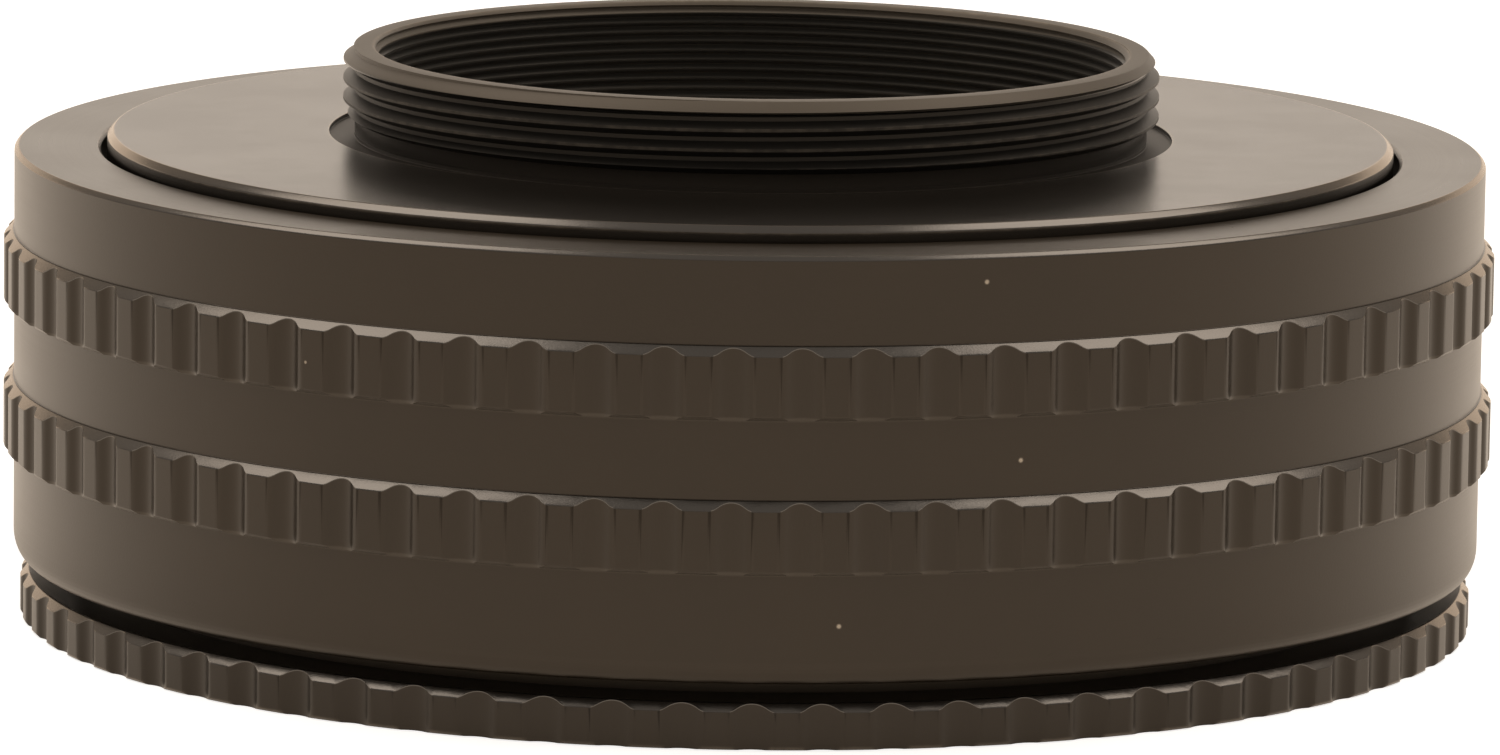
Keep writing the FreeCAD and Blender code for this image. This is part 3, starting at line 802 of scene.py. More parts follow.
@dataclass(frozen=True)
class Finish:
    """A metal finish with turning marks, grain, specks and worn edges.

    Args:
        name: The finish's name.
        colour: Its colour.
        worn: Colour where the finish has rubbed thin.
        roughness: Roughness of the plain surface.
        metallic: 0 for a dyed oxide skin, 1 for bare metal.
        turning: Height of the turning marks, in metres.
        turning_scale: Turning marks for each millimetre.
        grain: Height of the grain, in metres.
        grain_scale: Grains for each millimetre.
        cloud: How much the colour wanders over large patches.
        specks: Share of small spots where the finish is missing.
        wear: How strongly the edges are rubbed.
        edges: Radius and height of each worn edge.
        edge_width: Width of a worn edge.
        lines: Heights of the light lines round the outside.
        bevels: Radius plus height of each bright bevel, with its lowest and highest height.
        relief: Outer radius and top of a coarsely turned recess.
        bore: Outer radius and top of the light-proofed bore.
        crest: Radius of a thread's crests, with their lowest and highest height.
        rim: Height above which the piece is duller and painted lighter, as a painted sheen.
        spots: Places of single light specks.
        gloss: Specular level of the skin.
        gloss_tint: Tint of its reflections, seen straight on.
        zones: Widths and strengths of its marks.
    """

    name: str
    colour: Colour
    worn: Colour
    roughness: float
    metallic: float = 0.0
    turning: float = 0.000004
    turning_scale: float = 9.0
    grain: float = 0.000004
    grain_scale: float = 9.0
    cloud: float = 0.15
    specks: float = 0.0
    wear: float = 0.0
    edges: tuple[Point, ...] = ()
    edge_width: float = 0.16
    lines: Lines = ()
    bevels: tuple[Bevel, ...] = ()
    relief: Point | None = None
    bore: Point | None = None
    crest: Bevel | None = None
    rim: float | None = None
    spots: tuple[tuple[float, float, float], ...] = ()
    gloss: float = 0.5
    gloss_tint: Colour = (1.0, 1.0, 1.0, 1.0)
    zones: Zones = Zones()

    def edge_mask(self, board: Board, place: Place) -> Signal:
        """Where the worn edges are.

        Args:
            board: The material's board.
            place: Where the point is.

        Returns:
            1 on an edge and 0 away from all of them.
        """
        mask = place.radius * 0.0
        for radius, height in self.edges:
            away = ((place.radius - radius) ** 2.0 + (place.height - height) ** 2.0) ** 0.5
            mask = mask.greatest(1.0 - away.ramp(0.0, self.edge_width))
        zones = self.zones
        patches = place.grain(board, zones.wear_scale, WEAR_DETAIL).ramp(*zones.wear_break)
        return mask * (patches * (1.0 - zones.wear_least) + zones.wear_least) * self.wear

    def line_mask(self, board: Board, place: Place) -> Signal:
        """Where the light lines round the outside are.

        Args:
            board: The material's board.
            place: Where the point is.

        Returns:
            1 on a line and 0 away from all of them.
        """
        mask = place.radius * 0.0
        for height in self.lines:
            away = ((place.height - height) ** 2.0) ** 0.5
            mask = mask.greatest(1.0 - away.ramp(*self.zones.line_fade))
        return mask

    def speck_mask(self, board: Board, place: Place) -> Signal:
        """Where the small missing spots are.

        Args:
            board: The material's board.
            place: Where the point is.

        Returns:
            1 in a spot and 0 away from them.
        """
        zones = self.zones
        cells = board.node(
            "ShaderNodeTexVoronoi", None,
            {"Vector": place.where, "Scale": zones.speck_scale, "Randomness": 1.0})
        chance = board.node("ShaderNodeSeparateXYZ", None, {0: cells.outputs["Color"]})
        threshold = 1.0 - self.specks
        chosen = Signal(board, chance.outputs[0]).ramp(threshold - BLUR, threshold)
        mask = chosen * (1.0 - Signal(board, cells.outputs["Distance"]).ramp(*zones.speck_fade))
        for spot in self.spots:
            away = board.value(
                "ShaderNodeVectorMath", {"operation": "DISTANCE"}, {0: place.where, 1: spot}, "Value")
            mask = mask.greatest(1.0 - away.ramp(*zones.spot_fade))
        return mask

    def bevel_mask(self, board: Board, place: Place) -> Signal:
        """Where the bright bevels are.

        Args:
            board: The material's board.
            place: Where the point is.

        Returns:
            1 on a bevel and 0 away from all of them.
        """
        mask = place.radius * 0.0
        for total, low, high in self.bevels:
            away = ((place.radius + place.height - total) ** 2.0) ** 0.5
            on_cone = 1.0 - away.ramp(*self.zones.bevel_fade)
            mask = mask.greatest(on_cone * place.between(low, high, self.zones.bevel_ends))
        return mask

    def thread_masks(self, board: Board, place: Place) -> tuple[Signal | float, Signal | float]:
        """Where the thread is, and where its crests show rubbed wear and a painted highlight.

        Args:
            board: The material's board.
            place: Where the point is.

        Returns:
            A mask of the thread and one of its crests.
        """
        if self.crest is None:
            return 0.0, 0.0
        zones = self.zones
        radius, low, high = self.crest
        on_thread, crest_wear_and_highlight = (
            place.radius.ramp(radius + start, radius + end)
            for start, end in (zones.thread_reach, zones.crest_reach))
        on_thread = place.between(low, high) * on_thread
        patches = place.grain(board, zones.crest_scale, WEAR_DETAIL).ramp(*zones.crest_break)
        return on_thread, on_thread * crest_wear_and_highlight * patches

    @staticmethod
    def within(place: Place, zone: Point | None) -> Signal | float:
        """Where a point is inside a radius and below a height.

        Args:
            place: Where the point is.
            zone: The radius and the height, if the piece has such a zone.

        Returns:
            1 inside and 0 outside.
        """
        if zone is None:
            return 0.0
        radius, height = zone
        inside = 1.0 - place.radius.ramp(radius - BLUR, radius + BLUR)
        return inside * (1.0 - place.height.ramp(height - BLUR, height + BLUR))

    @staticmethod
    def above(place: Place, height: float | None) -> Signal | float:
        """Where a point is above a height.

        Args:
            place: Where the point is.
            height: The height, if the piece has such a zone.

        Returns:
            1 above and 0 below.
        """
        if height is None:
            return 0.0
        return place.height.ramp(height - BLUR, height + BLUR)

    def build(self) -> bpy.types.Material:
        """Make the material.

        Returns:
            The material.
        """
        material = bpy.data.materials.new(self.name)
        board = Board(material, "ShaderNodeOutputMaterial")
        place = Place.on(board)
        zones = self.zones
        rings = place.rings(board, self.turning_scale, SKIN_DETAIL)
        grain = place.grain(board, self.grain_scale, SKIN_DETAIL)
        cloud = place.grain(board, zones.cloud_scale, SKIN_DETAIL).ramp(*zones.cloud_break)
        light = tuple(min(1.0, part * (1.0 + self.cloud)) for part in self.colour[:3]) + (1.0,)
        dark = tuple(part * (1.0 - self.cloud) for part in self.colour[:3]) + (1.0,)
        colour = board.mix(cloud, dark, light)
        bare = self.edge_mask(board, place).greatest(self.speck_mask(board, place))
        colour = board.mix(self.line_mask(board, place) * zones.line_share, colour, self.worn)
        colour = board.mix(bare, colour, self.worn)
        bevel = self.bevel_mask(board, place)
        colour = board.mix(bevel, colour, BURNISHED)
        coarse = self.within(place, self.relief)
        baffled = self.within(place, self.bore)
        thread, crest_wear_and_highlight = self.thread_masks(board, place)
        # Painted haze: the thread zone is painted lighter than the rest of the piece.
        colour = board.mix(thread, colour, THREAD_HAZE_COLOUR)
        # Crests painted lighter: partly rubbed wear, partly a painted highlight.
        colour = board.mix(crest_wear_and_highlight * zones.crest_wear_and_highlight_share, colour, self.worn)
        colour = board.mix(baffled, colour, BAFFLE_COLOUR)
        rim = self.above(place, self.rim)
        # Painted sheen: the rim above its height is painted lighter with the worn colour.
        colour = board.mix(rim * zones.rim_sheen_share, colour, self.worn)
        shine = (bare * zones.bare_shine).greatest(bevel)
        added = ROUGHENING
        rough = self.roughness + (rings - 0.5) * added.rings + (cloud - 0.5) * added.cloud
        rough = rough + bare * added.bare + coarse * added.relief + baffled * added.bore
        rough = rough + thread * added.thread + rim * added.rim + bevel * added.bevel
        marks = board.node(
            "ShaderNodeBump", None, {"Strength": 1.0, "Distance": self.turning, "Height": rings})
        skin = board.node(
            "ShaderNodeBump", None,
            {"Strength": 1.0, "Distance": self.grain, "Height": grain, "Normal": marks.outputs[0]})
        shader = board.node(
            "ShaderNodeBsdfPrincipled", None,
            {"Base Color": colour, "Roughness": rough, "Normal": skin.outputs[0],
             "Metallic": shine * (1.0 - self.metallic) + self.metallic,
             "Specular IOR Level": self.gloss, "Specular Tint": self.gloss_tint})
        board.surface(shader)
        return material


# pieces


class Dressing:
    """Keeps the materials and hands finished pieces to the frame."""

    def __init__(self, nodes: dict[str, bpy.types.Object]) -> None:
        """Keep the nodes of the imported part.

        Args:
            nodes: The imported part's meshes by name.
        """
        self.nodes = nodes

    def mount(self, thing: bpy.types.Object, node: str, body: Body,
              finish: Finish) -> None:
        """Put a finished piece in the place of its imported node.

        Args:
            thing: The finished piece.
            node: The node that it stands for.
            body: The body that it moves with.
            finish: Its finish.
        """
        thing.data.materials.clear()
        thing.data.materials.append(finish.build())
        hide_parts(node)
        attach(thing, body.value)
        LOG.info("%s: %d faces", thing.name, len(thing.data.polygons))

    def coat(self, names: Iterable[str], finish: Finish) -> None:
        """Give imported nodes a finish.

        Args:
            names: The nodes.
            finish: Their finish.
        """
        material = finish.build()
        for name in names:
            node = self.nodes[name]
            if not node.material_slots:
                node.data.materials.append(material)
            for slot in node.material_slots:
                slot.material = material
            LOG.info("%s: %s", name, finish.name)


FLANGE_COLOUR = (0.008, 0.007, 0.0058, 1.0)
# Painted shade: a darker copy of the satin black's colour for the foot ring, standing in for the shade
# from the dim floor next to it.
FOOT_SHADED_COLOUR = (0.010, 0.008, 0.006, 1.0)
BAFFLE_COLOUR = (0.036, 0.036, 0.034, 1.0)
# Painted haze: the thread zone takes this lighter, neutral colour, which lifts its shaded grooves as
# stray light would.
THREAD_HAZE_COLOUR = (0.018, 0.0178, 0.017, 1.0)
BURNISHED = (0.12, 0.116, 0.112, 1.0)
BLACK_SATIN = Finish(
    "anodised satin black", (0.0185, 0.0135, 0.0085, 1.0), (0.34, 0.30, 0.25, 1.0), 0.29,
    turning=0.0000006, specks=0.02, wear=0.35, gloss=0.5, gloss_tint=(1.0, 0.90, 0.80, 1.0))
BLACK_MATT = Finish(
    "anodised matt black", (0.014, 0.0115, 0.009, 1.0), (0.16, 0.14, 0.12, 1.0), 0.44,
    specks=0.01, wear=0.3, gloss=0.5, gloss_tint=(1.0, 0.86, 0.70, 1.0))
BRASS = Finish(
    "guide brass", (0.60, 0.42, 0.16, 1.0), (0.72, 0.55, 0.28, 1.0), 0.30, metallic=1.0,
    turning=0.000006, cloud=0.08)
BLACK_STEEL = Finish(
    "blackened steel", (0.022, 0.021, 0.021, 1.0), (0.35, 0.34, 0.33, 1.0), 0.36, metallic=0.3,
    wear=0.4)
BRIGHT_STEEL = Finish(
    "bright steel", (0.58, 0.57, 0.55, 1.0), (0.70, 0.69, 0.67, 1.0), 0.24, metallic=1.0,
    cloud=0.05)
WHITE_SLIP = Finish(
    "white slip plastic", (0.72, 0.71, 0.67, 1.0), (0.60, 0.59, 0.55, 1.0), 0.55, cloud=0.04)


@dataclass
class CameraSide:
    """The camera mount flange with its threaded collar, and the barrel below it.

    Sizes are in millimetres.
    """

    disc_radius: float = 33.1
    disc_bottom: float = 23.25
    disc_top: float = 25.0
    disc_edge: float = 0.3
    relief_radius: float = 21.7
    relief_floor: float = 24.78
    neck_radius: float = 20.4
    neck_top: float = 25.78
    run_out: float = 0.3
    collar_radius: float = 21.0
    collar_top: float = 29.4
    lead_width: float = 0.55
    lead_height: float = 0.6
    bore_radius: float = 19.2
    mouth_width: float = 0.25
    mouth_height: float = 0.35
    screws: int = 6
    tapped_circle: float = 25.4
    tapped_radius: float = 0.82
    tapped_top: float = 24.47
    screw_clearance: float = 1.42
    screw_cone: float = 0.6
    keys: int = 3
    key_angle: float = 60.0
    relief_margin: float = 0.05
    crest_margin: float = 0.1
    bore_zone_width: float = 0.5
    bore_zone_depth: float = 0.3
    barrel_radius: float = 29.5
    barrel_bore: float = 27.0
    barrel_bottom: float = 4.9
    barrel_web: float = 22.25
    barrel_throat: float = 23.8
    foot_chamfer: float = 0.25
    key_slot: tuple[Point, ...] = slot_section(26.0, 28.5, 5.1)
    collar_thread: Thread = Thread(
        radius=21.0, pitch=1.0, depth=0.58, mouth=0.87, floor=0.2, bottom=25.3, top=30.1,
        phase=200.0)
    baffle_thread: Thread = Thread(
        radius=19.2, pitch=0.5, depth=0.28, mouth=0.44, floor=0.06, bottom=22.9, top=29.8,
        side=Side.INSIDE)
    helicoid: Thread = Thread(
        radius=29.5, pitch=1.5, depth=0.45, mouth=0.95, floor=0.45, bottom=4.2, top=22.6,
        starts=12, hand=Hand.LEFT)

    def flange(self) -> bpy.types.Object:
        """Turn the flange and cut its threads and tapped holes.

        Returns:
            The flange.
        """
        work = turned("camera_flange", rounded([
            (self.bore_radius, self.disc_bottom),
            (self.disc_radius, self.disc_bottom),
            (self.disc_radius, self.disc_top - self.disc_edge),
            (self.disc_radius - self.disc_edge, self.disc_top),
            (self.relief_radius, self.disc_top),
            (self.relief_radius, self.relief_floor),
            (self.neck_radius, self.relief_floor),
            (self.neck_radius, self.neck_top),
            (self.collar_radius, self.neck_top + self.run_out),
            (self.collar_radius, self.collar_top - self.lead_height),
            (self.collar_radius - self.lead_width, self.collar_top),
            (self.bore_radius + self.mouth_width, self.collar_top),
            (self.bore_radius, self.collar_top - self.mouth_height),
        ]), FINE_STEPS)
        work.subtract(self.collar_thread.cutter("collar_thread_tool"))
        work.subtract(self.baffle_thread.cutter("baffle_thread_tool"))
        holes = Drill(self.tapped_circle, (
            (0.0, self.disc_bottom - OVERCUT), (self.tapped_radius, self.disc_bottom - OVERCUT),
            (self.tapped_radius, self.tapped_top), (0.0, self.tapped_top)), 0.0, self.screws)
        work.subtract(holes.cutter("tapped_hole_tool"))
        return work.smooth()

    def barrel(self) -> bpy.types.Object:
        """Turn the barrel and cut its helicoid, key slots and screw holes.

        Returns:
            The barrel.
        """
        work = turned("camera_side_barrel", rounded([
            (self.barrel_bore, self.barrel_bottom),
            (self.barrel_radius - self.foot_chamfer, self.barrel_bottom),
            (self.barrel_radius, self.barrel_bottom + self.foot_chamfer),
            (self.barrel_radius, self.disc_bottom),
            (self.barrel_throat, self.disc_bottom),
            (self.barrel_throat, self.barrel_web),
            (self.barrel_bore, self.barrel_web),
        ]), FINE_STEPS)
        work.subtract(self.helicoid.cutter("camera_helicoid_tool"))
        slots = Milling(
            self.key_slot, self.barrel_bottom - OVERCUT, self.barrel_web, self.key_angle, self.keys)
        work.subtract(slots.cutter("key_slot_tool"))
        holes = Drill(self.tapped_circle, (
            (0.0, self.barrel_web - OVERCUT), (self.screw_clearance, self.barrel_web - OVERCUT),
            (self.screw_clearance, self.barrel_web),
            (self.tapped_radius, self.barrel_web + self.screw_cone),
            (self.tapped_radius, self.disc_bottom + OVERCUT),
            (0.0, self.disc_bottom + OVERCUT)), 0.0, self.screws)
        work.subtract(holes.cutter("barrel_hole_tool"))
        return work.smooth()

    def dress(self, dressing: Dressing) -> None:
        """Build both pieces and hand them over.

        Args:
            dressing: Hands pieces to the frame.
        """
        satin = replace(BLACK_SATIN, name="flange satin black", colour=FLANGE_COLOUR, edges=(
            (self.disc_radius - self.disc_edge, self.disc_top),
            (self.disc_radius, self.disc_top - self.disc_edge),
            (self.disc_radius, self.disc_bottom),
            (self.relief_radius, self.disc_top),
            (self.bore_radius + self.mouth_width, self.collar_top)),
            bevels=((self.disc_radius + self.disc_top - self.disc_edge,
                     self.disc_top - self.disc_edge, self.disc_top),),
            relief=(self.relief_radius, self.disc_top - self.relief_margin),
            bore=(self.bore_radius + self.bore_zone_width, self.collar_top - self.bore_zone_depth),
            crest=(self.collar_radius, self.neck_top,
                   self.collar_top - self.lead_height - self.crest_margin),
            rim=self.collar_top - self.lead_height, wear=0.5, roughness=0.255, cloud=0.06,
            gloss=0.42)
        dressing.mount(self.flange(), "mount_flange", Body.CAMERA_SIDE, satin)
        dressing.mount(self.barrel(), "camera_barrel", Body.CAMERA_SIDE, BLACK_MATT)
        dressing.coat(["barrel_screws"], BLACK_STEEL)


@dataclass
class FocusSide:
    """The rotating focusing ring, and the sleeve that hangs in it.

    Sizes are in millimetres.
    """

    bottom: float = 3.25
    foot_width: float = 0.64
    foot_height: float = 1.1
    wall_radius: float = 37.85
    band_radius: float = 38.4
    band_bottoms: tuple[float, float] = (8.75, 16.3)
    band_height: float = 3.6
    band_top_chamfer: float = 0.45
    band_foot_chamfer: float = 0.2
    top: float = 24.25
    top_chamfer: float = 0.2
    mouth_radius: float = 33.4
    mouth_chamfer: float = 0.2
    web_top: float = 22.2
    web_bottom: float = 21.2
    web_bore: float = 31.52
    shell_bore: float = 34.53
    lead_chamfer: float = 0.3
    flute_depth: float = 0.38
    mill_radius: float = 1.15
    lip_radius: float = 0.95
    flutes: int = 72
    flute_angle: float = -91.0
    wear_height: float = 0.05
    line_height: float = 0.02
    light_specks: tuple[tuple[float, float, float], ...] = (
        (11.5, -36.06, 22.9), (13.3, -35.44, 14.1), (4.6, -37.57, 6.2))
    screws: int = 6
    screw_circle: float = 32.425
    screw_hole: float = 0.62
    helicoid: Thread = Thread(
        radius=34.53, pitch=1.5, depth=0.45, mouth=0.95, floor=0.45, bottom=2.6, top=20.9,
        starts=12, side=Side.INSIDE)

    def band(self, bottom: float) -> list[Point]:
        """Outline of one grip band.

        Args:
            bottom: Height of its foot.

        Returns:
            Corners from the foot upwards.
        """
        top = bottom + self.band_height
        return [
            (self.wall_radius, bottom),
            (self.band_radius - self.band_foot_chamfer, bottom),
            (self.band_radius, bottom + self.band_foot_chamfer),
            (self.band_radius, top - self.band_top_chamfer),
            (self.band_radius - self.band_top_chamfer, top),
            (self.wall_radius, top),
        ]

    def foot_edge(self) -> list[Point]:
        """Outline of the round foot of the wall, from below upwards."""
        points: list[Point] = []
        for step in range(FOOT_ARCS + 1):
            angle = FULL_TURN / 4 * step / FOOT_ARCS
            points.append((
                self.wall_radius - self.foot_width * (1.0 - math.sin(angle)),
                self.bottom + self.foot_height * (1.0 - math.cos(angle))))
        return points

    def band_bevel(self, bottom: float) -> Bevel:
        """Bright bevel at the top of a grip band.

        Args:
            bottom: Height of the band's foot.

        Returns:
            The bevel's radius plus height, its lowest and its highest height.
        """
        top = bottom + self.band_height
        low = top - self.band_top_chamfer
        return (self.band_radius + low, low, top)

    def ring(self) -> bpy.types.Object:
        """Turn the focusing ring, mill its scallops and cut its helicoid.

        Returns:
            The ring.
        """
        low, high = self.band_bottoms
        work = turned("focusing_ring", rounded([
            (self.shell_bore + self.lead_chamfer, self.bottom),
            *self.foot_edge(),
            *self.band(low),
            *self.band(high),
            (self.wall_radius, self.top - self.top_chamfer),
            (self.wall_radius - self.top_chamfer, self.top),
            (self.mouth_radius + self.mouth_chamfer, self.top),
            (self.mouth_radius, self.top - self.mouth_chamfer),
            (self.mouth_radius, self.web_top),
            (self.web_bore, self.web_top),
            (self.web_bore, self.web_bottom),
            (self.shell_bore, self.web_bottom),
            (self.shell_bore, self.bottom + self.lead_chamfer),
        ]), FINE_STEPS)
        scallops = Milling(
            flute_section(self.band_radius, self.flute_depth, self.mill_radius, self.lip_radius),
            low - OVERCUT, high + self.band_height + OVERCUT, self.flute_angle, self.flutes)
        work.subtract(scallops.cutter("scallop_tool"))
        work.subtract(self.helicoid.cutter("focus_helicoid_tool"))
        holes = Drill(self.screw_circle, (
            (0.0, self.web_bottom - OVERCUT), (self.screw_hole, self.web_bottom - OVERCUT),
            (self.screw_hole, self.web_top + OVERCUT),
            (0.0, self.web_top + OVERCUT)), 0.0, self.screws)
        work.subtract(holes.cutter("web_hole_tool"))
        return work.smooth()

    def dress(self, dressing: Dressing) -> None:
        """Build the ring and coat the sleeve and its screws.

        Args:
            dressing: Hands pieces to the frame.
        """
        half = self.top_chamfer / 2
        edges = [
            (self.wall_radius - half, self.top - half),
            (self.mouth_radius + self.mouth_chamfer / 2, self.top)]
        for bottom in self.band_bottoms:
            edges.append((self.band_radius, bottom + self.wear_height))
        satin = replace(
            BLACK_SATIN, name="focusing ring satin black", edges=tuple(edges),
            wear=0.5, lines=tuple(bottom + self.line_height for bottom in self.band_bottoms),
            bevels=tuple(self.band_bevel(bottom) for bottom in self.band_bottoms) + (
                (self.wall_radius + self.top - self.top_chamfer,
                 self.top - self.top_chamfer, self.top),),
            spots=self.light_specks)
        dressing.mount(self.ring(), "focus_ring", Body.FOCUS, satin)
        dressing.coat(["helicoid_sleeve"], replace(BLACK_MATT, name="sleeve matt black"))
        dressing.coat(["sleeve_screws"], replace(BLACK_STEEL, name="sleeve screw steel"))


@dataclass
class LensSide:
    """The lens side barrel with its knurled foot ring.

    Sizes are in millimetres.
    """

    barrel_radius: float = 34.45
    barrel_top: float = 20.9
    barrel_top_chamfer: float = 0.3
    barrel_deburr: float = 0.04
    bore_radius: float = 32.35
    thread_radius: float = 31.96
    thread_top: float = 2.8
    thread_chamfer: float = 0.5
    undercut_radius: float = 32.5
    undercut_top: float = 3.1
    block_slot: tuple[Point, ...] = slot_section(30.6, 33.3, 6.1)
    ring_bore: float = 34.47
    ring_radius: float = 37.5
    ring_top: float = 2.3
    ring_edge: float = 0.15
    ring_top_chamfer: float = 0.4
    flute_depth: float = 0.36
    mill_radius: float = 1.5
    lip_radius: float = 0.9
    flutes: int = 69
    flute_angle: float = -89.3
    seat_radius: float = 0.82
    seat_top: float = 1.92
    seat_angle: float = 30.0
    seats_round: int = 3
    blocks: int = 3
    wear_height: float = 0.1
    helicoid: Thread = Thread(
        radius=34.45, pitch=1.5, depth=0.45, mouth=0.95, floor=0.45, bottom=3.6, top=21.8,
        starts=12)
    lens_thread: Thread = Thread(
        radius=31.96, pitch=1.0, depth=0.5, mouth=0.87, floor=0.2, bottom=-0.6, top=3.0,
        side=Side.INSIDE)

    def seats(self) -> Drill:
        """Drill for the seats of the three locking screws."""
        return Drill(self.ring_bore, (
            (0.0, -OVERCUT), (self.seat_radius, -OVERCUT),
            (self.seat_radius, self.seat_top),
            (0.0, self.seat_top)), self.seat_angle, self.seats_round)

    def barrel(self) -> bpy.types.Object:
        """Turn the barrel and cut its helicoid, lens thread, slots and seats.

        Returns:
            The barrel.
        """
        work = turned("lens_side_barrel", rounded([
            (self.thread_radius + self.thread_chamfer, 0.0),
            (self.barrel_radius, 0.0),
            (self.barrel_radius, self.barrel_top - self.barrel_top_chamfer),
            (self.barrel_radius - self.barrel_top_chamfer, self.barrel_top),
            (self.bore_radius, self.barrel_top),
            (self.bore_radius, self.undercut_top),
            (self.undercut_radius, self.undercut_top),
            (self.undercut_radius, self.thread_top),
            (self.thread_radius, self.thread_top),
            (self.thread_radius, self.thread_chamfer),
        ], self.barrel_deburr), FINE_STEPS)
        work.subtract(self.helicoid.cutter("lens_helicoid_tool"))
        work.subtract(self.lens_thread.cutter("lens_thread_tool"))
        slots = Milling(
            self.block_slot, self.undercut_top, self.barrel_top + OVERCUT, 0.0, self.blocks)
        work.subtract(slots.cutter("block_slot_tool"))
        work.subtract(self.seats().cutter("barrel_seat_tool"))
        return work.smooth()

    def foot_ring(self) -> bpy.types.Object:
        """Turn the foot ring and mill its scallops and seats.

        Returns:
            The ring.
        """
        work = turned("foot_ring", rounded([
            (self.ring_bore, 0.0),
            (self.ring_radius - self.ring_edge, 0.0),
            (self.ring_radius, self.ring_edge),
            (self.ring_radius, self.ring_top - self.ring_top_chamfer),
            (self.ring_radius - self.ring_top_chamfer, self.ring_top),
            (self.ring_bore, self.ring_top),
        ]), FINE_STEPS)
        scallops = Milling(
            flute_section(self.ring_radius, self.flute_depth, self.mill_radius, self.lip_radius),
            -OVERCUT, self.ring_top + OVERCUT, self.flute_angle, self.flutes)
        work.subtract(scallops.cutter("foot_scallop_tool"))
        work.subtract(self.seats().cutter("ring_seat_tool"))
        return work.smooth()

    def dress(self, dressing: Dressing) -> None:
        """Build both pieces and coat the locking screws.

        Args:
            dressing: Hands pieces to the frame.
        """
        shoulder = self.ring_top - self.ring_top_chamfer
        # Painted shade: the foot ring's satin black is a darker copy of the finish.
        satin = replace(
            BLACK_SATIN, name="foot ring satin black", colour=FOOT_SHADED_COLOUR,
            edges=((self.ring_radius, self.wear_height),),
            bevels=((self.ring_radius + shoulder, shoulder, self.ring_top),))
        matt = replace(BLACK_MATT, name="lens barrel matt black")
        dressing.mount(self.barrel(), "lens_barrel", Body.LENS_SIDE, matt)
        dressing.mount(self.foot_ring(), "lens_mount_ring", Body.LENS_SIDE, satin)
        dressing.coat(["foot_keys"], replace(BLACK_STEEL, name="locking screw steel"))


@dataclass
class GuideSide:
    """The floating guide ring with its keys, blocks, pins and rings."""

    brass: tuple[str, ...] = (
        "guide_ring", "guide_key_1", "guide_key_2", "guide_key_3",
        "slide_block_1", "slide_block_2", "slide_block_3")
    steel: tuple[str, ...] = ("key_pins", "block_pins", "snap_ring")
    plastic: tuple[str, ...] = ("slip_ring",)

    def dress(self, dressing: Dressing) -> None:
        """Give the guide's nodes their finishes.

        Args:
            dressing: Keeps the nodes.
        """
        dressing.coat(self.brass, BRASS)
        dressing.coat(self.steel, BRIGHT_STEEL)
        dressing.coat(self.plastic, WHITE_SLIP)


# studio


@dataclass(frozen=True)
class Lamp:
    """A soft square lamp that faces the part.

    Args:
        name: Its name.
        azimuth: Direction of the lamp round the part, in degrees from the camera side.
        elevation: Its height angle in degrees.
        distance: Distance from the part in metres.
        width: Width of the lamp in metres.
        height: Height of the lamp in metres.
        level: Brightness of its face, where 1 is white.
    """

    name: str
    azimuth: float
    elevation: float
    distance: float
    width: float
    height: float
    level: float

    def place(self, target: Vector, colour: Colour) -> None:
        """Add the lamp, turned towards the part.

        Args:
            target: Middle of the part.
            colour: Colour of its light.
        """
        data = bpy.data.lights.new(self.name, "AREA")
        data.shape = "RECTANGLE"
        data.size = self.width
        data.size_y = self.height
        data.color = colour[:3]
        data.energy = self.level * math.pi * self.width * self.height
        lamp = bpy.data.objects.new(self.name, data)
        bpy.context.scene.collection.objects.link(lamp)
        around, above = math.radians(self.azimuth), math.radians(self.elevation)
        back = Vector((
            math.sin(around) * math.cos(above), -math.cos(around) * math.cos(above),
            math.sin(above)))
        lamp.location = target + back * self.distance
        lamp.rotation_mode = "QUATERNION"
        lamp.rotation_quaternion = back.to_track_quat("Z", "Y")


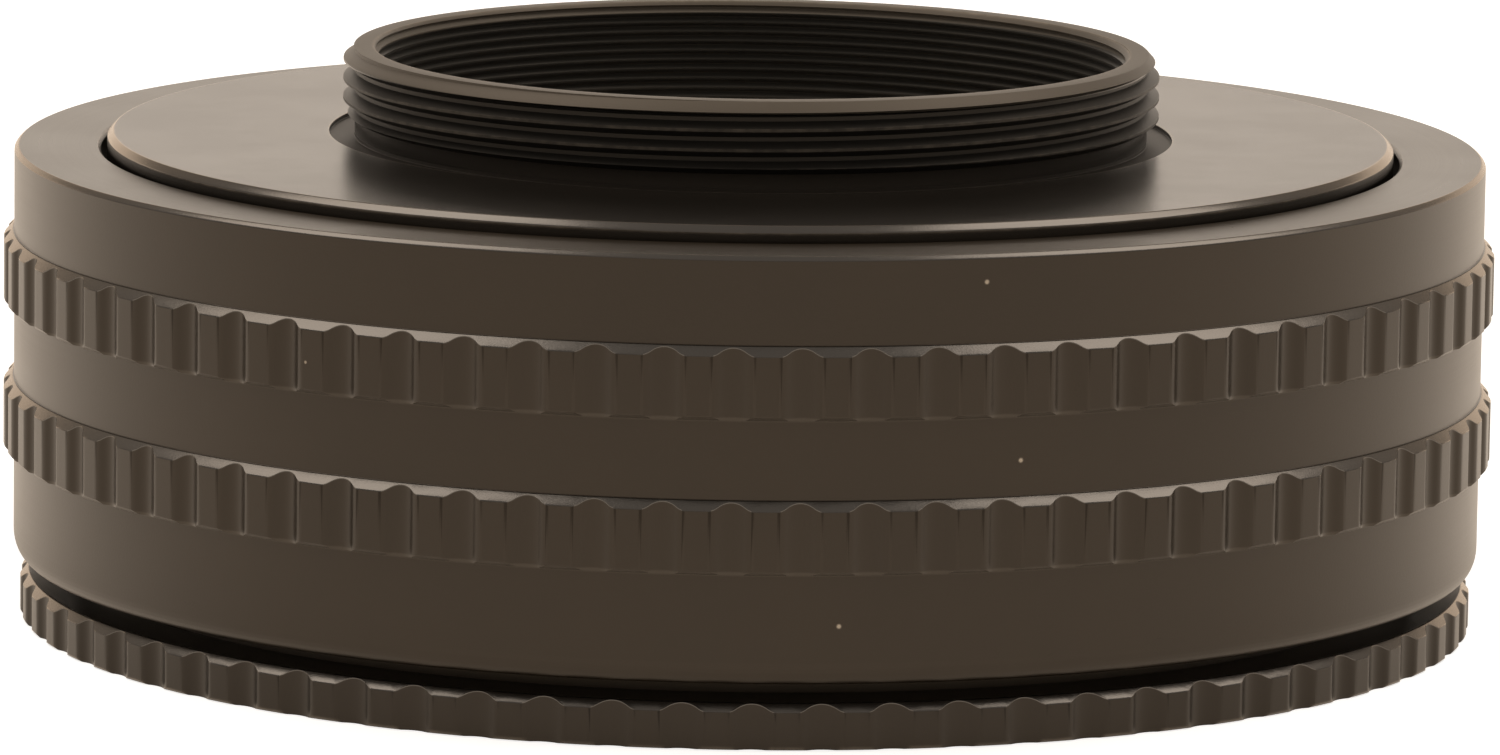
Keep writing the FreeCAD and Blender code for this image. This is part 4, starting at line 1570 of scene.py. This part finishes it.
@dataclass(frozen=True)
class Studio:
    """The white floor, the light and the camera of the photograph."""

    floor_size: float = 12.0
    floor_gap: float = 0.00002
    floor_colour: Colour = (0.80, 0.80, 0.80, 1.0)
    floor_glow: float = 0.75
    mirrored_glow: float = 0.62
    mirrored_colour: Colour = (1.0, 0.82, 0.64, 1.0)
    light_colour: Colour = (1.0, 0.87, 0.74, 1.0)
    world_light: float = 0.38
    mirrored_sky: float = 0.08
    focal_length: float = 251.57
    sensor_width: float = 36.0
    distance: float = 0.54235
    elevation: float = 9.226
    roll: float = 0.013778
    target: tuple[float, float, float] = (0.0001425, 0.0, 0.0122193)
    lamps: tuple[Lamp, ...] = (
        Lamp("left_softbox", -100.0, 57.0, 0.8, 0.46, 0.46, 2.6),
        Lamp("right_softbox", 100.0, 57.0, 0.8, 0.46, 0.46, 2.6),
        Lamp("back_softbox", 180.0, 7.0, 1.0, 2.4, 0.5, 0.84),
    )

    def floor(self) -> None:
        """Add the white floor, which keeps the part's shadow."""
        select_nothing()
        under = (0.0, 0.0, -self.floor_gap)
        bpy.ops.mesh.primitive_plane_add(size=self.floor_size, location=under)
        floor = bpy.context.object
        floor.name = "studio_floor"
        material = bpy.data.materials.new("studio white")
        board = Board(material, "ShaderNodeOutputMaterial")
        path = board.node("ShaderNodeLightPath")
        seen = Signal(board, path.outputs["Is Camera Ray"]) * self.floor_glow
        mirrored = Signal(board, path.outputs["Is Glossy Ray"]).greatest(
            Signal(board, path.outputs["Is Transmission Ray"])) * self.mirrored_glow
        paint = board.node(
            "ShaderNodeBsdfDiffuse", None, {"Color": self.floor_colour, "Roughness": 0.0})
        tone = board.mix(path.outputs["Is Camera Ray"], self.mirrored_colour, (1.0, 1.0, 1.0, 1.0))
        glow = board.node("ShaderNodeEmission", None, {"Color": tone, "Strength": seen + mirrored})
        board.surface(board.node(
            "ShaderNodeAddShader", None, {0: paint.outputs[0], 1: glow.outputs[0]}))
        floor.data.materials.append(material)

    def sky(self) -> None:
        """Light the scene evenly and show plain white behind it."""
        world = bpy.data.worlds.new("studio_world")
        bpy.context.scene.world = world
        board = Board(world, "ShaderNodeOutputWorld")
        path = board.node("ShaderNodeLightPath")
        seen = Signal(board, path.outputs["Is Camera Ray"])
        colour = board.mix(seen, self.light_colour, (1.0, 1.0, 1.0, 1.0))
        mirrored = Signal(board, path.outputs["Is Glossy Ray"]).greatest(
            Signal(board, path.outputs["Is Transmission Ray"]))
        strength = seen * (1.0 - self.world_light) + mirrored * self.mirrored_sky + self.world_light
        board.surface(board.node("ShaderNodeBackground", None, {"Color": colour, "Strength": strength}))

    def camera(self) -> None:
        """Add the camera of the photograph."""
        data = bpy.data.cameras.new("photo_camera")
        data.lens = self.focal_length
        data.sensor_width = self.sensor_width
        data.clip_start = 0.05
        data.clip_end = 50.0
        thing = bpy.data.objects.new("photo_camera", data)
        bpy.context.scene.collection.objects.link(thing)
        above = math.radians(self.elevation)
        forward = Vector((0.0, math.cos(above), -math.sin(above)))
        level = Vector((1.0, 0.0, 0.0))
        upright = Vector((0.0, math.sin(above), math.cos(above)))
        right = level * math.cos(self.roll) + upright * math.sin(self.roll)
        up = upright * math.cos(self.roll) - level * math.sin(self.roll)
        turn = Matrix((right, up, -forward)).transposed().to_4x4()
        thing.matrix_world = Matrix.Translation(Vector(self.target) - forward * self.distance) @ turn
        bpy.context.scene.camera = thing

    def set_up(self) -> None:
        """Build the whole studio."""
        self.floor()
        self.sky()
        for lamp in self.lamps:
            lamp.place(Vector(self.target), self.light_colour)
        self.camera()
        bpy.context.scene.view_settings.view_transform = "Standard"


def main() -> None:
    """Load the frame, build every sub-assembly and set up the studio."""
    logging.basicConfig(level=logging.INFO, format="%(name)s: %(message)s")
    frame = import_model()
    dressing = Dressing(frame["nodes"])
    for group in (LensSide(), GuideSide(), FocusSide(), CameraSide()):
        LOG.info("building %s", type(group).__name__)
        group.dress(dressing)
    Studio().set_up()


if __name__ == "__main__":
    main()
